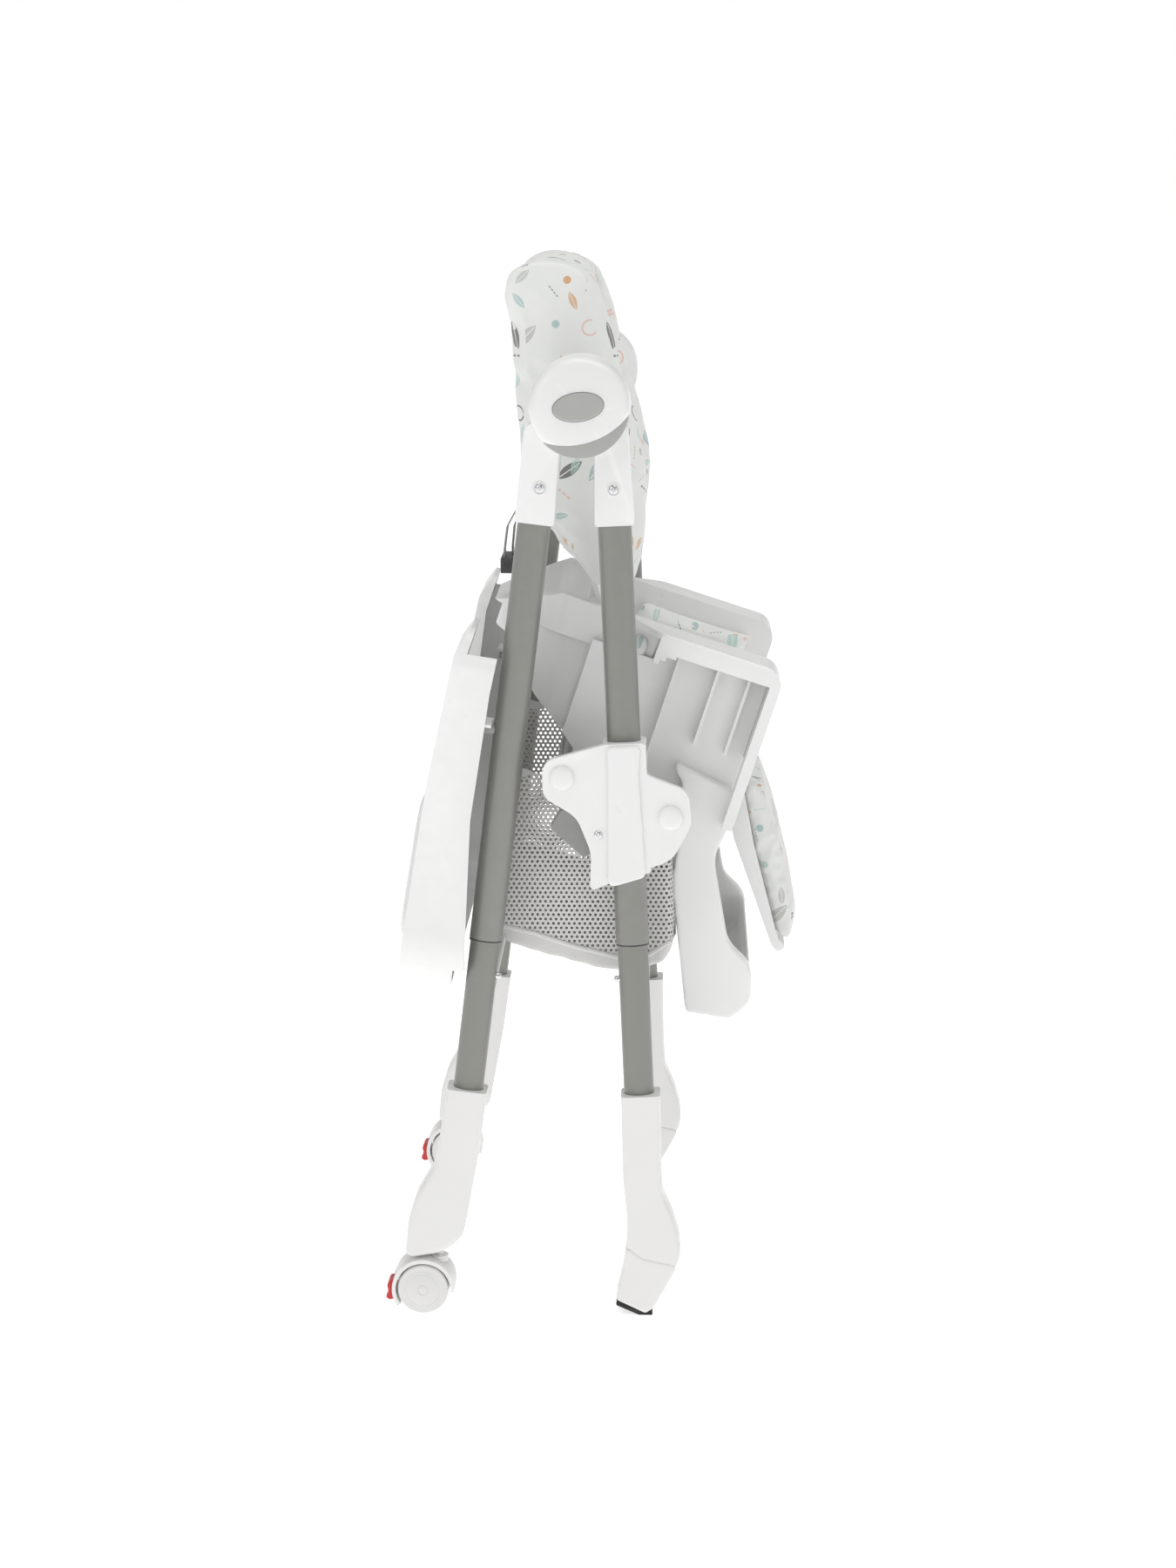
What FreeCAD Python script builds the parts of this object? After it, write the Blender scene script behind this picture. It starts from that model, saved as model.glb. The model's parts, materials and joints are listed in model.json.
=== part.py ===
"""Folding baby high chair, modelled folded and standing upright.

Frame: +X is the way the child faces, +Y is the child's left, +Z is up, z = 0 is the floor.
The two front legs, the two rear legs and the hubs that join them are symmetric about the XZ plane.
Lengths are in millimetres, angles in degrees.
"""

import FreeCAD, Part
import math
import os

from FreeCAD import Placement, Rotation, Vector

os.makedirs("parts", exist_ok=True)
document = FreeCAD.newDocument("HighChair")

SIDES = {"right": -1, "left": 1}

# Driving dimensions: alias, value, meaning.
DIMENSIONS = (
    ("hub_x", -5.5, "fold axis, fore and aft"),
    ("hub_height", 942.0, "fold axis above the floor"),
    ("hub_radius", 49.0, "round hub halves"),
    ("track", 220.0, "leg centre plane from the middle"),
    ("socket_inner", 205.0, "leg sockets, inner face from the middle"),
    ("socket_width", 41.0, "leg sockets, across"),
    ("rear_disc_inner", 206.0, "rear hub half, inner face"),
    ("rear_disc_width", 19.0, "rear hub half, thickness"),
    ("front_disc_inner", 225.6, "front hub half, inner face"),
    ("front_disc_width", 32.4, "front hub half, thickness"),
    ("hub_gap_radius", 50.2, "room cut in each socket for the other hub half"),
    ("cover_inner", 258.2, "hub cover, inner face"),
    ("cover_width", 16.8, "hub cover, thickness"),
    ("cover_round", 9.0, "hub cover, rounded rim"),
    ("smile_radius", 80.4, "curved lower edge of the hub cover"),
    ("trim_width", 9.0, "crescent trim, thickness"),
    ("pin_radius", 6.0, "hub pin"),
    ("pin_length", 50.0, "hub pin"),
    ("running_gap", 0.05, "radial gap of a pin in its bore"),
    ("button_length", 50.0, "oval fold button, long way"),
    ("button_height", 28.0, "oval fold button, short way"),
    ("button_inner", 264.0, "oval fold button, inner face"),
    ("button_depth", 14.0, "oval fold button, thickness"),
    ("front_offset", 28.0, "front leg axis in front of the hub axis"),
    ("rear_offset", -32.0, "rear leg axis behind the hub axis"),
    ("front_lean", -2.56, "front legs, feet forwards"),
    ("rear_lean", 6.85, "rear legs, feet backwards"),
    ("tube_depth", 33.5, "oval upper tube, fore and aft"),
    ("tube_width", 25.0, "oval upper tube, across"),
    ("tube_wall", 1.2, "tube wall"),
    ("tube_fit", 0.15, "gap between telescoping tubes and in sockets"),
    ("upper_top", 62.0, "upper tubes begin this far below the hub axis"),
    ("upper_length", 484.0, "upper tubes"),
    ("lower_top", 480.0, "lower tubes begin this far below the hub axis"),
    ("lower_length", 318.0, "lower tubes"),
    ("foot_width", 34.0, "plastic feet, across"),
    ("leg_bar_radius", 11.0, "cross tubes between the legs"),
    ("leg_bar_drop", 644.0, "cross tubes, below the hub axis along the leg"),
    ("leg_bar_length", 417.6, "cross tubes between the legs"),
    ("screw_radius", 4.5, "screw heads"),
    ("snap_radius", 3.5, "sprung snap buttons of the lower tubes"),
    ("snap_length", 10.0, "sprung snap buttons of the lower tubes"),
    ("snap_proud", 5.0, "how far the snap buttons stand out of the tube"),
    ("snap_drop", 584.0, "snap buttons, below the hub axis along the leg"),
    ("wheel_radius", 26.5, "castor wheels"),
    ("wheel_width", 14.0, "castor wheels"),
    ("wheel_gap", 10.8, "between the two wheels of a castor"),
    ("axle_radius", 3.0, "castor axle"),
    ("castor_x", -153.0, "castor swivel axis"),
    ("castor_trail", 16.5, "wheel axis behind the swivel axis"),
    ("hood_outer", 32.5, "castor hood"),
    ("hood_inner", 28.5, "castor hood"),
    ("hood_width", 40.0, "castor hood, across"),
    ("web_radius", 24.0, "middle web of the castor hood"),
    ("web_width", 9.6, "middle web of the castor hood"),
    ("stem_radius", 4.0, "castor stem"),
    ("stem_length", 44.0, "castor stem"),
    ("lever_width", 22.0, "brake lever"),
    ("bracket_inner", 203.0, "height bracket collar, inner face"),
    ("bracket_outer", 245.0, "height bracket, outer face"),
    ("bracket_plate", 9.0, "height bracket plate, thickness"),
    ("slide_gap", 0.3, "gap between a leg tube and its collar"),
    ("cap_radius", 12.0, "round bracket caps"),
    ("cap_height", 5.0, "round bracket caps"),
    ("seat_bar_radius", 8.0, "cross tubes under the seat"),
    ("seat_bar_length", 472.0, "cross tubes under the seat"),
    ("trigger_inner", 222.0, "height trigger, inner face"),
    ("trigger_width", 13.0, "height trigger, across"),
    ("seat_x", 85.0, "front cross tube under the seat: seat datum"),
    ("seat_height", 532.0, "front cross tube under the seat: seat datum"),
    ("seat_tilt", 18.0, "the folded seat is nose down"),
    ("tub_half", 124.0, "seat tub, half width outside"),
    ("tub_wall", 4.0, "seat tub wall"),
    ("tub_floor", 17.0, "seat tub, underside above the datum"),
    ("arm_top", 165.0, "armrests above the datum"),
    ("arm_plate", 6.5, "armrest thickness"),
    ("arm_half", 180.0, "armrests, half width outside"),
    ("basket_half", 188.0, "basket, half width"),
    ("basket_wall", 3.0, "basket wall"),
    ("recline_x", 4.0, "recline axis"),
    ("recline_height", 728.0, "recline axis"),
    ("shell_half", 132.0, "backrest shell, half width"),
    ("shell_wall", 4.0, "backrest shell wall"),
    ("pad_half", 150.0, "backrest pad, half width"),
    ("pad_inner_half", 98.0, "backrest pad, half width between its wings"),
    ("pad_gap", 0.6, "between the backrest pad and its shell"),
    ("strap_width", 20.0, "webbing"),
    ("strap_thickness", 1.6, "webbing"),
    ("barrel_radius", 5.0, "hinge barrels of the legrest and studs of the footrest"),
    ("legrest_x", 154.0, "legrest hinge"),
    ("legrest_height", 525.0, "legrest hinge"),
    ("legrest_half", 114.0, "legrest, half width"),
    ("footrest_x", 109.0, "footrest pivot"),
    ("footrest_height", 556.0, "footrest pivot"),
    ("footrest_inner", 142.0, "footrest arms, inner face"),
    ("footrest_arm", 22.0, "footrest arms, across"),
    ("tray_x", -115.0, "top end of the stored tray"),
    ("tray_top", 720.0, "top end of the stored tray"),
    ("tray_lean", 9.0, "the stored tray leans like the rear legs"),
    ("tray_half", 245.0, "tray, half width"),
    ("tray_length", 376.0, "tray, back to front"),
    ("tray_wall", 3.5, "tray wall"),
    ("peg_radius", 5.0, "pegs that the tray hangs on"),
    ("peg_length", 22.0, "pegs that the tray hangs on"),
    ("peg_drop", 330.0, "pegs, below the hub axis along the rear leg"),
    ("tool_width", 600.0, "cutting tools that reach right across the chair"),
)

sheet = document.addObject("Spreadsheet::Sheet", "Dimensions")
for row, (alias, number, meaning) in enumerate(DIMENSIONS, start=1):
    sheet.set(f"A{row}", alias)
    sheet.set(f"B{row}", str(number))
    sheet.set(f"C{row}", meaning)
    sheet.setAlias(f"B{row}", alias)
document.recompute()


def size(alias):
    """The number that the sheet holds under an alias."""
    return float(sheet.get(alias))


def bind(feature, **expressions):
    """Bind properties of a feature to expressions on the sheet, given by alias or as a formula."""
    for name, expression in expressions.items():
        formula = expression
        for alias, _, _ in sorted(DIMENSIONS, key=lambda entry: -len(entry[0])):
            formula = formula.replace(f"[{alias}]", f"Dimensions.{alias}")
        feature.setExpression(name, formula)
    return feature


# Placements -------------------------------------------------------------------------------------

def at(x=0.0, y=0.0, z=0.0, lean=0.0):
    """A placement at a point, leaning about the Y axis."""
    return Placement(Vector(x, y, z), Rotation(Vector(0, 1, 0), lean))


def shift(x=0.0, y=0.0, z=0.0):
    """A plain move."""
    return Placement(Vector(x, y, z), Rotation())


ACROSS = Rotation(Vector(1, 0, 0), 90)
FRONT_LEG = at(size("hub_x") + size("front_offset"), 0, size("hub_height"), size("front_lean"))
REAR_LEG = at(size("hub_x") + size("rear_offset"), 0, size("hub_height"), size("rear_lean"))
HUB = at(size("hub_x"), 0, size("hub_height"))
SEAT = at(size("seat_x"), 0, size("seat_height"), size("seat_tilt"))
RECLINE = at(size("recline_x"), 0, size("recline_height"))
LEGREST = at(size("legrest_x"), 0, size("legrest_height"))
FOOTREST = at(size("footrest_x"), 0, size("footrest_height"))
TRAY = at(size("tray_x"), 0, size("tray_top"), size("tray_lean"))
CASTOR = at(size("castor_x"), 0, size("wheel_radius"))


# Outlines and solids ----------------------------------------------------------------------------

def add_outline(sketch, corners):
    """Draw a closed outline of corners (across, up) or (across, up, radius), rounded where a radius is given."""
    ends = []
    arcs = []
    count = len(corners)
    for index, corner in enumerate(corners):
        here = Vector(corner[0], corner[1], 0)
        radius = corner[2] if len(corner) > 2 else 0.0
        if not radius:
            ends.append((here, here))
            continue
        before = Vector(*corners[index - 1][:2], 0) - here
        after = Vector(*corners[(index + 1) % count][:2], 0) - here
        half = before.getAngle(after) / 2
        back = radius / math.tan(half)
        room = min(before.Length, after.Length) * 0.49
        if back > room:
            back = room
            radius = back * math.tan(half)
        start = here + before.normalize() * back
        stop = here + after.normalize() * back
        centre = here + (before + after).normalize() * (radius / math.sin(half))
        middle = centre + (here - centre).normalize() * radius
        ends.append((start, stop))
        arcs.append(Part.Arc(start, middle, stop))
    for index in range(count):
        start, stop = ends[index][1], ends[(index + 1) % count][0]
        if start.distanceToPoint(stop) > 1e-4:
            sketch.addGeometry(Part.LineSegment(start, stop))
    for arc in arcs:
        sketch.addGeometry(arc)


def add_sketch(body, role):
    """A new sketch on one of the body's own origin planes."""
    plane = next(item for item in body.Origin.OriginFeatures if item.Role == role)
    sketch = body.newObject("Sketcher::SketchObject", "Outline")
    sketch.AttachmentSupport = [(plane, "")]
    sketch.MapMode = "FlatFace"
    return sketch


def padded(label, corners, thickness, place, plane="XZ_Plane", flip=False, middle=False):
    """A body padded from an outline. On XZ_Plane the pad runs towards -Y, or towards +Y when flipped."""
    body = document.addObject("PartDesign::Body", label)
    body.Placement = place
    sketch = add_sketch(body, plane)
    add_outline(sketch, corners)
    pad = body.newObject("PartDesign::Pad", "Pad")
    pad.Profile = sketch
    pad.Reversed = flip
    pad.Midplane = middle
    bind(pad, Length=thickness)
    body.Tip = pad
    return body


def side_plate(label, corners, inner, thickness, frame, side):
    """A plate on one side of the chair, whose inner face lies at the distance inner from the middle."""
    place = frame * shift(y=side * inner)
    return padded(label, corners, thickness, place, flip=side > 0)


def oval_bar(label, depth, width, length, place, wall=0.0):
    """An oval bar or tube that runs down from its placement, depth along X and width along Y."""
    body = document.addObject("PartDesign::Body", label)
    body.Placement = place
    sketch = add_sketch(body, "XY_Plane")
    for inset in (0.0, wall)[: 2 if wall else 1]:
        long_way, short_way = depth / 2 - inset, width / 2 - inset
        sketch.addGeometry(Part.Ellipse(Vector(long_way, 0, 0), Vector(0, short_way, 0), Vector(0, 0, 0)))
    pad = body.newObject("PartDesign::Pad", "Pad")
    pad.Profile = sketch
    pad.Reversed = True
    bind(pad, Length=length)
    body.Tip = pad
    return body


def cylinder(label, radius, length, place, toward=None):
    """A cylinder that starts at its placement and runs up, or along Y towards the side given."""
    solid = document.addObject("Part::Cylinder", label)
    bind(solid, Radius=radius, Height=length)
    turn = Rotation() if toward is None else Rotation(Vector(1, 0, 0), -90 * toward)
    solid.Placement = place * Placement(Vector(), turn)
    return solid


def box(label, length, width, height, place):
    """A box centred on its placement along X and Y, and standing on it."""
    solid = document.addObject("Part::Box", label)
    bind(solid, Length=str(length), Width=str(width), Height=str(height))
    solid.Placement = place * shift(-length / 2, -width / 2)
    return solid


def cut(label, base, *tools):
    """The base with every tool taken away."""
    for index, tool in enumerate(tools, start=1):
        result = document.addObject("Part::Cut", label if index == len(tools) else f"{label}_step{index}")
        result.Base, result.Tool = base, tool
        base = result
    return base


def common(label, first, second):
    """What two solids share."""
    result = document.addObject("Part::MultiCommon", label)
    result.Shapes = [first, second]
    return result


def fused(label, *solids):
    """Solids joined into one."""
    result = document.addObject("Part::MultiFuse", label)
    result.Shapes = list(solids)
    return result


def group(label, *solids):
    """Separate solids kept in one node."""
    result = document.addObject("Part::Compound", label)
    result.Links = list(solids)
    return result


nodes = []


def node(feature, label):
    """Name a finished sub-part; the label names its file."""
    feature.Label = label
    nodes.append(feature)
    return feature


# Legs -------------------------------------------------------------------------------------------

def leg_tubes(name, frame, side_name, side, toward):
    """The telescoping upper and lower tube of one leg, with the snap button that locks them."""
    track = shift(y=side * size("track"))
    depth, width, wall, fit = size("tube_depth"), size("tube_width"), size("tube_wall"), size("tube_fit")
    upper = oval_bar("Tube", depth, width, "[upper_length]", frame * track * shift(z=-size("upper_top")), wall)
    node(upper, f"{name}_upper_tube_{side_name}")
    inset = 2 * (wall + fit)
    place = frame * track * shift(z=-size("lower_top"))
    lower = oval_bar("Tube", depth - inset, width - inset, "[lower_length]", place, wall)
    inner_end = (depth - inset) / 2 + size("snap_proud") - size("snap_length")
    across = Placement(Vector(), Rotation(Vector(0, 1, 0), 90 * toward))
    snap_place = frame * track * shift(toward * inner_end, z=-size("snap_drop")) * across
    hole = cylinder("SnapHole", "[snap_radius] + [slide_gap]", "[snap_length]", snap_place)
    node(cut("DrilledTube", lower, hole), f"{name}_lower_tube_{side_name}")
    button = cylinder("Snap", "[snap_radius]", "[snap_length]", snap_place)
    node(button, f"{name}_snap_button_{side_name}")


def leg_bore(frame, side, upper):
    """The hollow that a leg tube fills in its socket or foot."""
    track = shift(y=side * size("track"))
    fit = 2 * size("tube_fit")
    if upper:
        place = frame * track * shift(z=-size("upper_top"))
        return oval_bar("Bore", size("tube_depth") + fit, size("tube_width") + fit, "[upper_length]", place)
    inset = 2 * size("tube_wall")
    place = frame * track * shift(z=-size("lower_top"))
    return oval_bar("Bore", size("tube_depth") - inset, size("tube_width") - inset, "[lower_length]", place)


FRONT_SOCKET = ((-17, -30, 4), (-19, -117, 3), (20, -117, 3), (17, -12, 8))
REAR_SOCKET = ((-20, -12, 10), (-19, -116, 3), (20, -116, 3), (18, -30, 4))
# Feet: the front one is drawn about its toe on the floor, the rear one along its leg.
TOE_X = 60.0
FRONT_FOOT = ((-26, 245, 3), (14, 245, 3), (17, 165, 40), (36, 118, 25), (37, 58, 6), (11, 3.5, 4),
              (-29, 16.5, 2), (-16, 75, 20), (-21, 130, 40))
SOLE = ((-28, 15.9), (9, 3.9), (9, 0, 1), (-5, 0, 3), (-29, 10.5, 2))
REAR_FOOT = ((-20, -701, 3), (20, -701, 3), (15, -800, 40), (14, -862, 8), (-10, -884, 12), (-46, -892, 5),
             (-43, -835, 30), (-25, -790, 40))


def front_leg_ends(side_name, side):
    """Hub half with the leg socket, the cover with its trim, and the foot with its sole."""
    block = side_plate("Block", FRONT_SOCKET, size("socket_inner"), "[socket_width]", FRONT_LEG, side)
    room = cylinder("Room", "[hub_gap_radius]", "[front_disc_inner] - [socket_inner] + 5",
                    HUB * shift(y=side * (size("socket_inner") - 5)), side)
    disc = cylinder("Disc", "[hub_radius]", "[front_disc_width]",
                    HUB * shift(y=side * size("front_disc_inner")), side)
    pin_room = cylinder("PinRoom", "[pin_radius]", "[pin_length] + 20",
                        HUB * shift(y=side * size("rear_disc_inner")), side)
    housing = fused("Housing", disc, cut("Socket", block, room))
    node(cut("HousingBored", housing, leg_bore(FRONT_LEG, side, True), pin_room), f"hub_housing_{side_name}")

    foot = padded("Foot", FRONT_FOOT, "[foot_width]", at(TOE_X, side * size("track")), middle=True)
    node(cut("FootBored", foot, leg_bore(FRONT_LEG, side, False)), f"front_foot_{side_name}")


def hub_cover(side_name, side):
    """The domed cap with its curved lower edge, and the slot for the oval button."""
    cover_at = HUB * shift(y=side * size("cover_inner"))
    dome = cylinder("Dome", "[hub_radius]", "[cover_width]", cover_at, side)
    document.recompute()
    rounded = document.addObject("Part::Fillet", "RoundedDome")
    rounded.Base = dome
    outer = [index for index, edge in enumerate(dome.Shape.Edges, start=1)
             if edge.Closed and abs(abs(edge.CenterOfMass.y) - size("cover_inner") - size("cover_width")) < 0.01]
    radius = size("cover_round")
    rounded.Edges = [(index, radius, radius) for index in outer]
    smile = cylinder("Smile", "[smile_radius]", "[cover_width] + 2", HUB * shift(-14, side * 257.5, 45), side)
    slot = oval_button("Slot", side, size("button_length") + 0.6, size("button_height") + 0.6,
                       size("cover_inner") + 1.2)
    node(cut("Cover", common("CoverShape", rounded, smile), slot), f"hub_cover_{side_name}")


def crescent(side):
    """The grey crescent below the cover's curved edge."""
    plate = cylinder("Plate", "[hub_radius] - 0.6", "[trim_width]", HUB * shift(y=side * size("cover_inner")), side)
    smile = cylinder("Smile", "[smile_radius] + 0.3", "[trim_width] + 4", HUB * shift(-14, side * 256, 45), side)
    return cut("Crescent", plate, smile)


def oval_button(label, side, length, height, inner):
    """The oval fold button, tipped up a little towards the front."""
    place = HUB * Placement(Vector(-1, side * inner, 2), Rotation(Vector(0, 1, 0), -8))
    body = document.addObject("PartDesign::Body", label)
    body.Placement = place
    sketch = add_sketch(body, "XZ_Plane")
    sketch.addGeometry(Part.Ellipse(Vector(length / 2, 0, 0), Vector(0, height / 2, 0), Vector(0, 0, 0)))
    pad = body.newObject("PartDesign::Pad", "Pad")
    pad.Profile = sketch
    pad.Reversed = side > 0
    bind(pad, Length="[button_depth] + 4" if label == "Slot" else "[button_depth]")
    body.Tip = pad
    return body


def rear_leg_ends(side_name, side):
    """Rear hub half with its socket, and the foot that holds the castor stem."""
    block = side_plate("Block", REAR_SOCKET, size("socket_inner"), "[socket_width]", REAR_LEG, side)
    room = cylinder("Room", "[hub_gap_radius]", "60",
                    HUB * shift(y=side * (size("front_disc_inner") - 0.6)), side)
    disc = cylinder("Disc", "[hub_radius]", "[rear_disc_width]",
                    HUB * shift(y=side * size("rear_disc_inner")), side)
    pin_room = cylinder("PinRoom", "[pin_radius] + [running_gap]", "[rear_disc_width] + 20",
                        HUB * shift(y=side * (size("rear_disc_inner") - 10)), side)
    socket = fused("Socket", disc, cut("SocketBlock", block, room))
    node(cut("SocketBored", socket, leg_bore(REAR_LEG, side, True), pin_room), f"rear_socket_{side_name}")

    foot = padded("Foot", REAR_FOOT, "[foot_width]", REAR_LEG * shift(y=side * size("track")), middle=True)
    stem_room = cylinder("StemRoom", "[stem_radius] + [running_gap]", "[stem_length] + 1",
                         at(size("castor_x"), side * size("track"), 58))
    node(cut("FootBored", foot, leg_bore(REAR_LEG, side, False), stem_room), f"rear_foot_{side_name}")


def leg_bar(frame):
    """The round cross tube between the two legs of a pair."""
    middle = frame * shift(y=-size("leg_bar_length") / 2, z=-size("leg_bar_drop"))
    outside = cylinder("Bar", "[leg_bar_radius]", "[leg_bar_length]", middle, 1)
    inside = cylinder("BarBore", "[leg_bar_radius] - 1.5", "[leg_bar_length]", middle, 1)
    return cut("BarTube", outside, inside)


def screws(frame, across, up, face):
    """A screw head on both sides of the chair."""
    return [cylinder("Screw", "[screw_radius]", "2.5", frame * shift(across, side * face, up), side)
            for side in SIDES.values()]


def build_frame():
    """Both leg pairs with their hubs."""
    for side_name, side in SIDES.items():
        leg_tubes("front", FRONT_LEG, side_name, side, -1)
        leg_tubes("rear", REAR_LEG, side_name, side, 1)
        front_leg_ends(side_name, side)
        hub_cover(side_name, side)
        rear_leg_ends(side_name, side)
        button = oval_button("Button", side, size("button_length"), size("button_height"), size("button_inner"))
        node(button, f"fold_button_{side_name}")
    soles = [padded("Sole", SOLE, "[foot_width] - 2", at(TOE_X, side * size("track")), middle=True)
             for side in SIDES.values()]
    node(group("Soles", *soles), "front_foot_soles")
    node(group("Trims", *[crescent(side) for side in SIDES.values()]), "hub_trims")
    pins = [cylinder("Pin", "[pin_radius]", "[pin_length]", HUB * shift(y=side * size("rear_disc_inner")), side)
            for side in SIDES.values()]
    node(group("Pins", *pins), "hub_pins")
    face = size("socket_inner") + size("socket_width")
    node(group("FrontScrews", *screws(FRONT_LEG, 1, -81, face)), "front_socket_screws")
    node(group("RearScrews", *screws(REAR_LEG, 2, -80, face)), "rear_socket_screws")
    node(leg_bar(FRONT_LEG), "front_crossbar")
    node(leg_bar(REAR_LEG), "rear_crossbar")
    pegs = []
    for side in SIDES.values():
        track = shift(y=side * size("track"))
        place = REAR_LEG * track * shift(-size("tube_depth") / 2 + 2, 0, -size("peg_drop"))
        peg = cylinder("PegBar", "[peg_radius]", "[peg_length]",
                       place * Placement(Vector(), Rotation(Vector(0, 1, 0), -90)))
        tube = oval_bar("TubeRoom", size("tube_depth"), size("tube_width"), "[upper_length]",
                        REAR_LEG * track * shift(z=-size("upper_top")))
        pegs.append(cut("Peg", peg, tube))
    node(group("Pegs", *pegs), "tray_pegs")


# Castors ----------------------------------------------------------------------------------------

LEVER = ((-42, 7, 1.5), (-33.8, 7, 1), (-34.2, -2, 2), (-35.5, -16, 2), (-42, -16, 2.5))


def arc_band(label, inner, outer, first, last, width, place):
    """A band between two radii and two angles, centred across its placement."""
    body = document.addObject("PartDesign::Body", label)
    body.Placement = place
    sketch = add_sketch(body, "XZ_Plane")
    first, last = math.radians(first), math.radians(last)
    up = Vector(0, 0, 1)
    for radius in (inner, outer):
        sketch.addGeometry(Part.ArcOfCircle(Part.Circle(Vector(), up, radius), first, last))
    for angle in (first, last):
        spoke = Vector(math.cos(angle), math.sin(angle), 0)
        sketch.addGeometry(Part.LineSegment(spoke * inner, spoke * outer))
    pad = body.newObject("PartDesign::Pad", "Pad")
    pad.Profile = sketch
    pad.Midplane = True
    bind(pad, Length=width)
    body.Tip = pad
    return body


def build_castor(side_name, side):
    """Hood with stem, twin wheels on their axle, and the brake lever on its pin."""
    place = CASTOR * shift(y=side * size("track"))
    wheel_at = place * shift(x=-size("castor_trail"))
    canopy = arc_band("Canopy", size("hood_inner"), size("hood_outer"), -4, 214, "[hood_width]", wheel_at)
    spine = arc_band("Spine", size("web_radius") - 4, size("hood_inner") + 1, 10, 200, "[web_width]", wheel_at)
    web = cylinder("Web", "[web_radius]", "[web_width]", wheel_at * shift(y=-size("web_width") / 2), 1)
    stem = cylinder("Stem", "[stem_radius]", "[stem_length]", place * shift(z=size("hood_inner") - 1))
    collar = cylinder("Collar", "9", "6", place * shift(z=size("hood_inner") - 2))
    axle_room = cylinder("AxleRoom", "[axle_radius] + [running_gap]", "60", wheel_at * shift(y=-30), 1)
    notch = box("Notch", 14, size("lever_width") + 1, 14, wheel_at * shift(-33, 0, 0.5))
    pin_room = cylinder("LeverPinRoom", "1.55", "36", wheel_at * shift(-30.4, -18, 6.5), 1)
    hood = fused("Hood", canopy, spine, web, collar, stem)
    node(cut("HoodBored", hood, axle_room, notch, pin_room), f"caster_hood_{side_name}")

    half_gap = size("wheel_gap") / 2
    discs = [cylinder("Disc", "[wheel_radius]", "[wheel_width]", wheel_at * shift(y=way * half_gap), way)
             for way in (-1, 1)]
    axle = cylinder("Axle", "[axle_radius]", "[wheel_gap] + 2", wheel_at * shift(y=-half_gap - 1), 1)
    node(fused("Wheels", *discs, axle), f"caster_wheels_{side_name}")

    blade = padded("Blade", LEVER, "[lever_width]", wheel_at, middle=True)
    neck = box("Neck", 4, size("lever_width"), 4.4, wheel_at * shift(-33, 0, 4.3))
    pin = cylinder("LeverPin", "1.5", "30", wheel_at * shift(-30.4, -15, 6.5), 1)
    node(fused("Lever", blade, neck, pin), f"brake_lever_{side_name}")


# Seat carriage ----------------------------------------------------------------------------------

BRACKET = ((-18, -335, 3), (20, -335, 3), (17, -366, 16), (63, -386, 18), (65, -420, 24), (44, -456, 30),
           (0, -470, 20), (-40, -485, 4), (-37, -445, 40), (-50, -408, 30), (-83, -386, 16), (-82, -350, 16))
COLLAR = ((-22, -336, 3), (22, -336, 3), (22, -468, 3), (-22, -474, 3))
TRIGGER = ((-26, -400, 3), (-66, -402, 6), (-78, -420, 5), (-46, -452, 5), (-26, -444, 3))
REAR_BAR = (-63, -367)
FRONT_BAR = (44, -412)


def build_brackets():
    """The two brackets that slide on the front legs, with what joins them."""
    for side_name, side in SIDES.items():
        plate_inner = size("bracket_outer") - size("bracket_plate")
        plate = side_plate("Plate", BRACKET, plate_inner, "[bracket_plate]", FRONT_LEG, side)
        collar = side_plate("Collar", COLLAR, size("bracket_inner"), "[bracket_outer] - [bracket_inner]",
                            FRONT_LEG, side)
        gap = 2 * size("slide_gap")
        bore = oval_bar("Bore", size("tube_depth") + gap, size("tube_width") + gap, "[upper_length]",
                        FRONT_LEG * shift(y=side * size("track"), z=-100))
        node(cut("Bracket", fused("BracketBody", plate, collar), bore), f"height_bracket_{side_name}")
        node(side_plate("Trigger", TRIGGER, size("trigger_inner"), "[trigger_width]", FRONT_LEG, side),
             f"height_trigger_{side_name}")
    caps = [cylinder("Cap", "[cap_radius]", "[cap_height]",
                     FRONT_LEG * shift(across, side * size("bracket_outer"), up), side)
            for side in SIDES.values() for across, up in (REAR_BAR, FRONT_BAR)]
    node(group("Caps", *caps), "bracket_caps")
    node(group("BracketScrews", *screws(FRONT_LEG, -29, -427, size("bracket_outer"))), "bracket_screws")
    bars = []
    for across, up in (REAR_BAR, FRONT_BAR):
        end = FRONT_LEG * shift(across, -size("seat_bar_length") / 2, up)
        outside = cylinder("Bar", "[seat_bar_radius]", "[seat_bar_length]", end, 1)
        inside = cylinder("BarBore", "[seat_bar_radius] - 1.5", "[seat_bar_length]", end, 1)
        bars.append(cut("BarTube", outside, inside))
    node(group("SeatBars", *bars), "seat_crossbars")


# Seen from above: the armrests are wide in front and narrow to a rounded back.
def tub_plan(half, rear, front):
    """The seat tub from above, open ended at the front."""
    return ((front, -half), (front, half), (rear + 60, half, 50), (rear, half * 0.42, 70),
            (rear, -half * 0.42, 70), (rear + 60, -half, 50))


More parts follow.
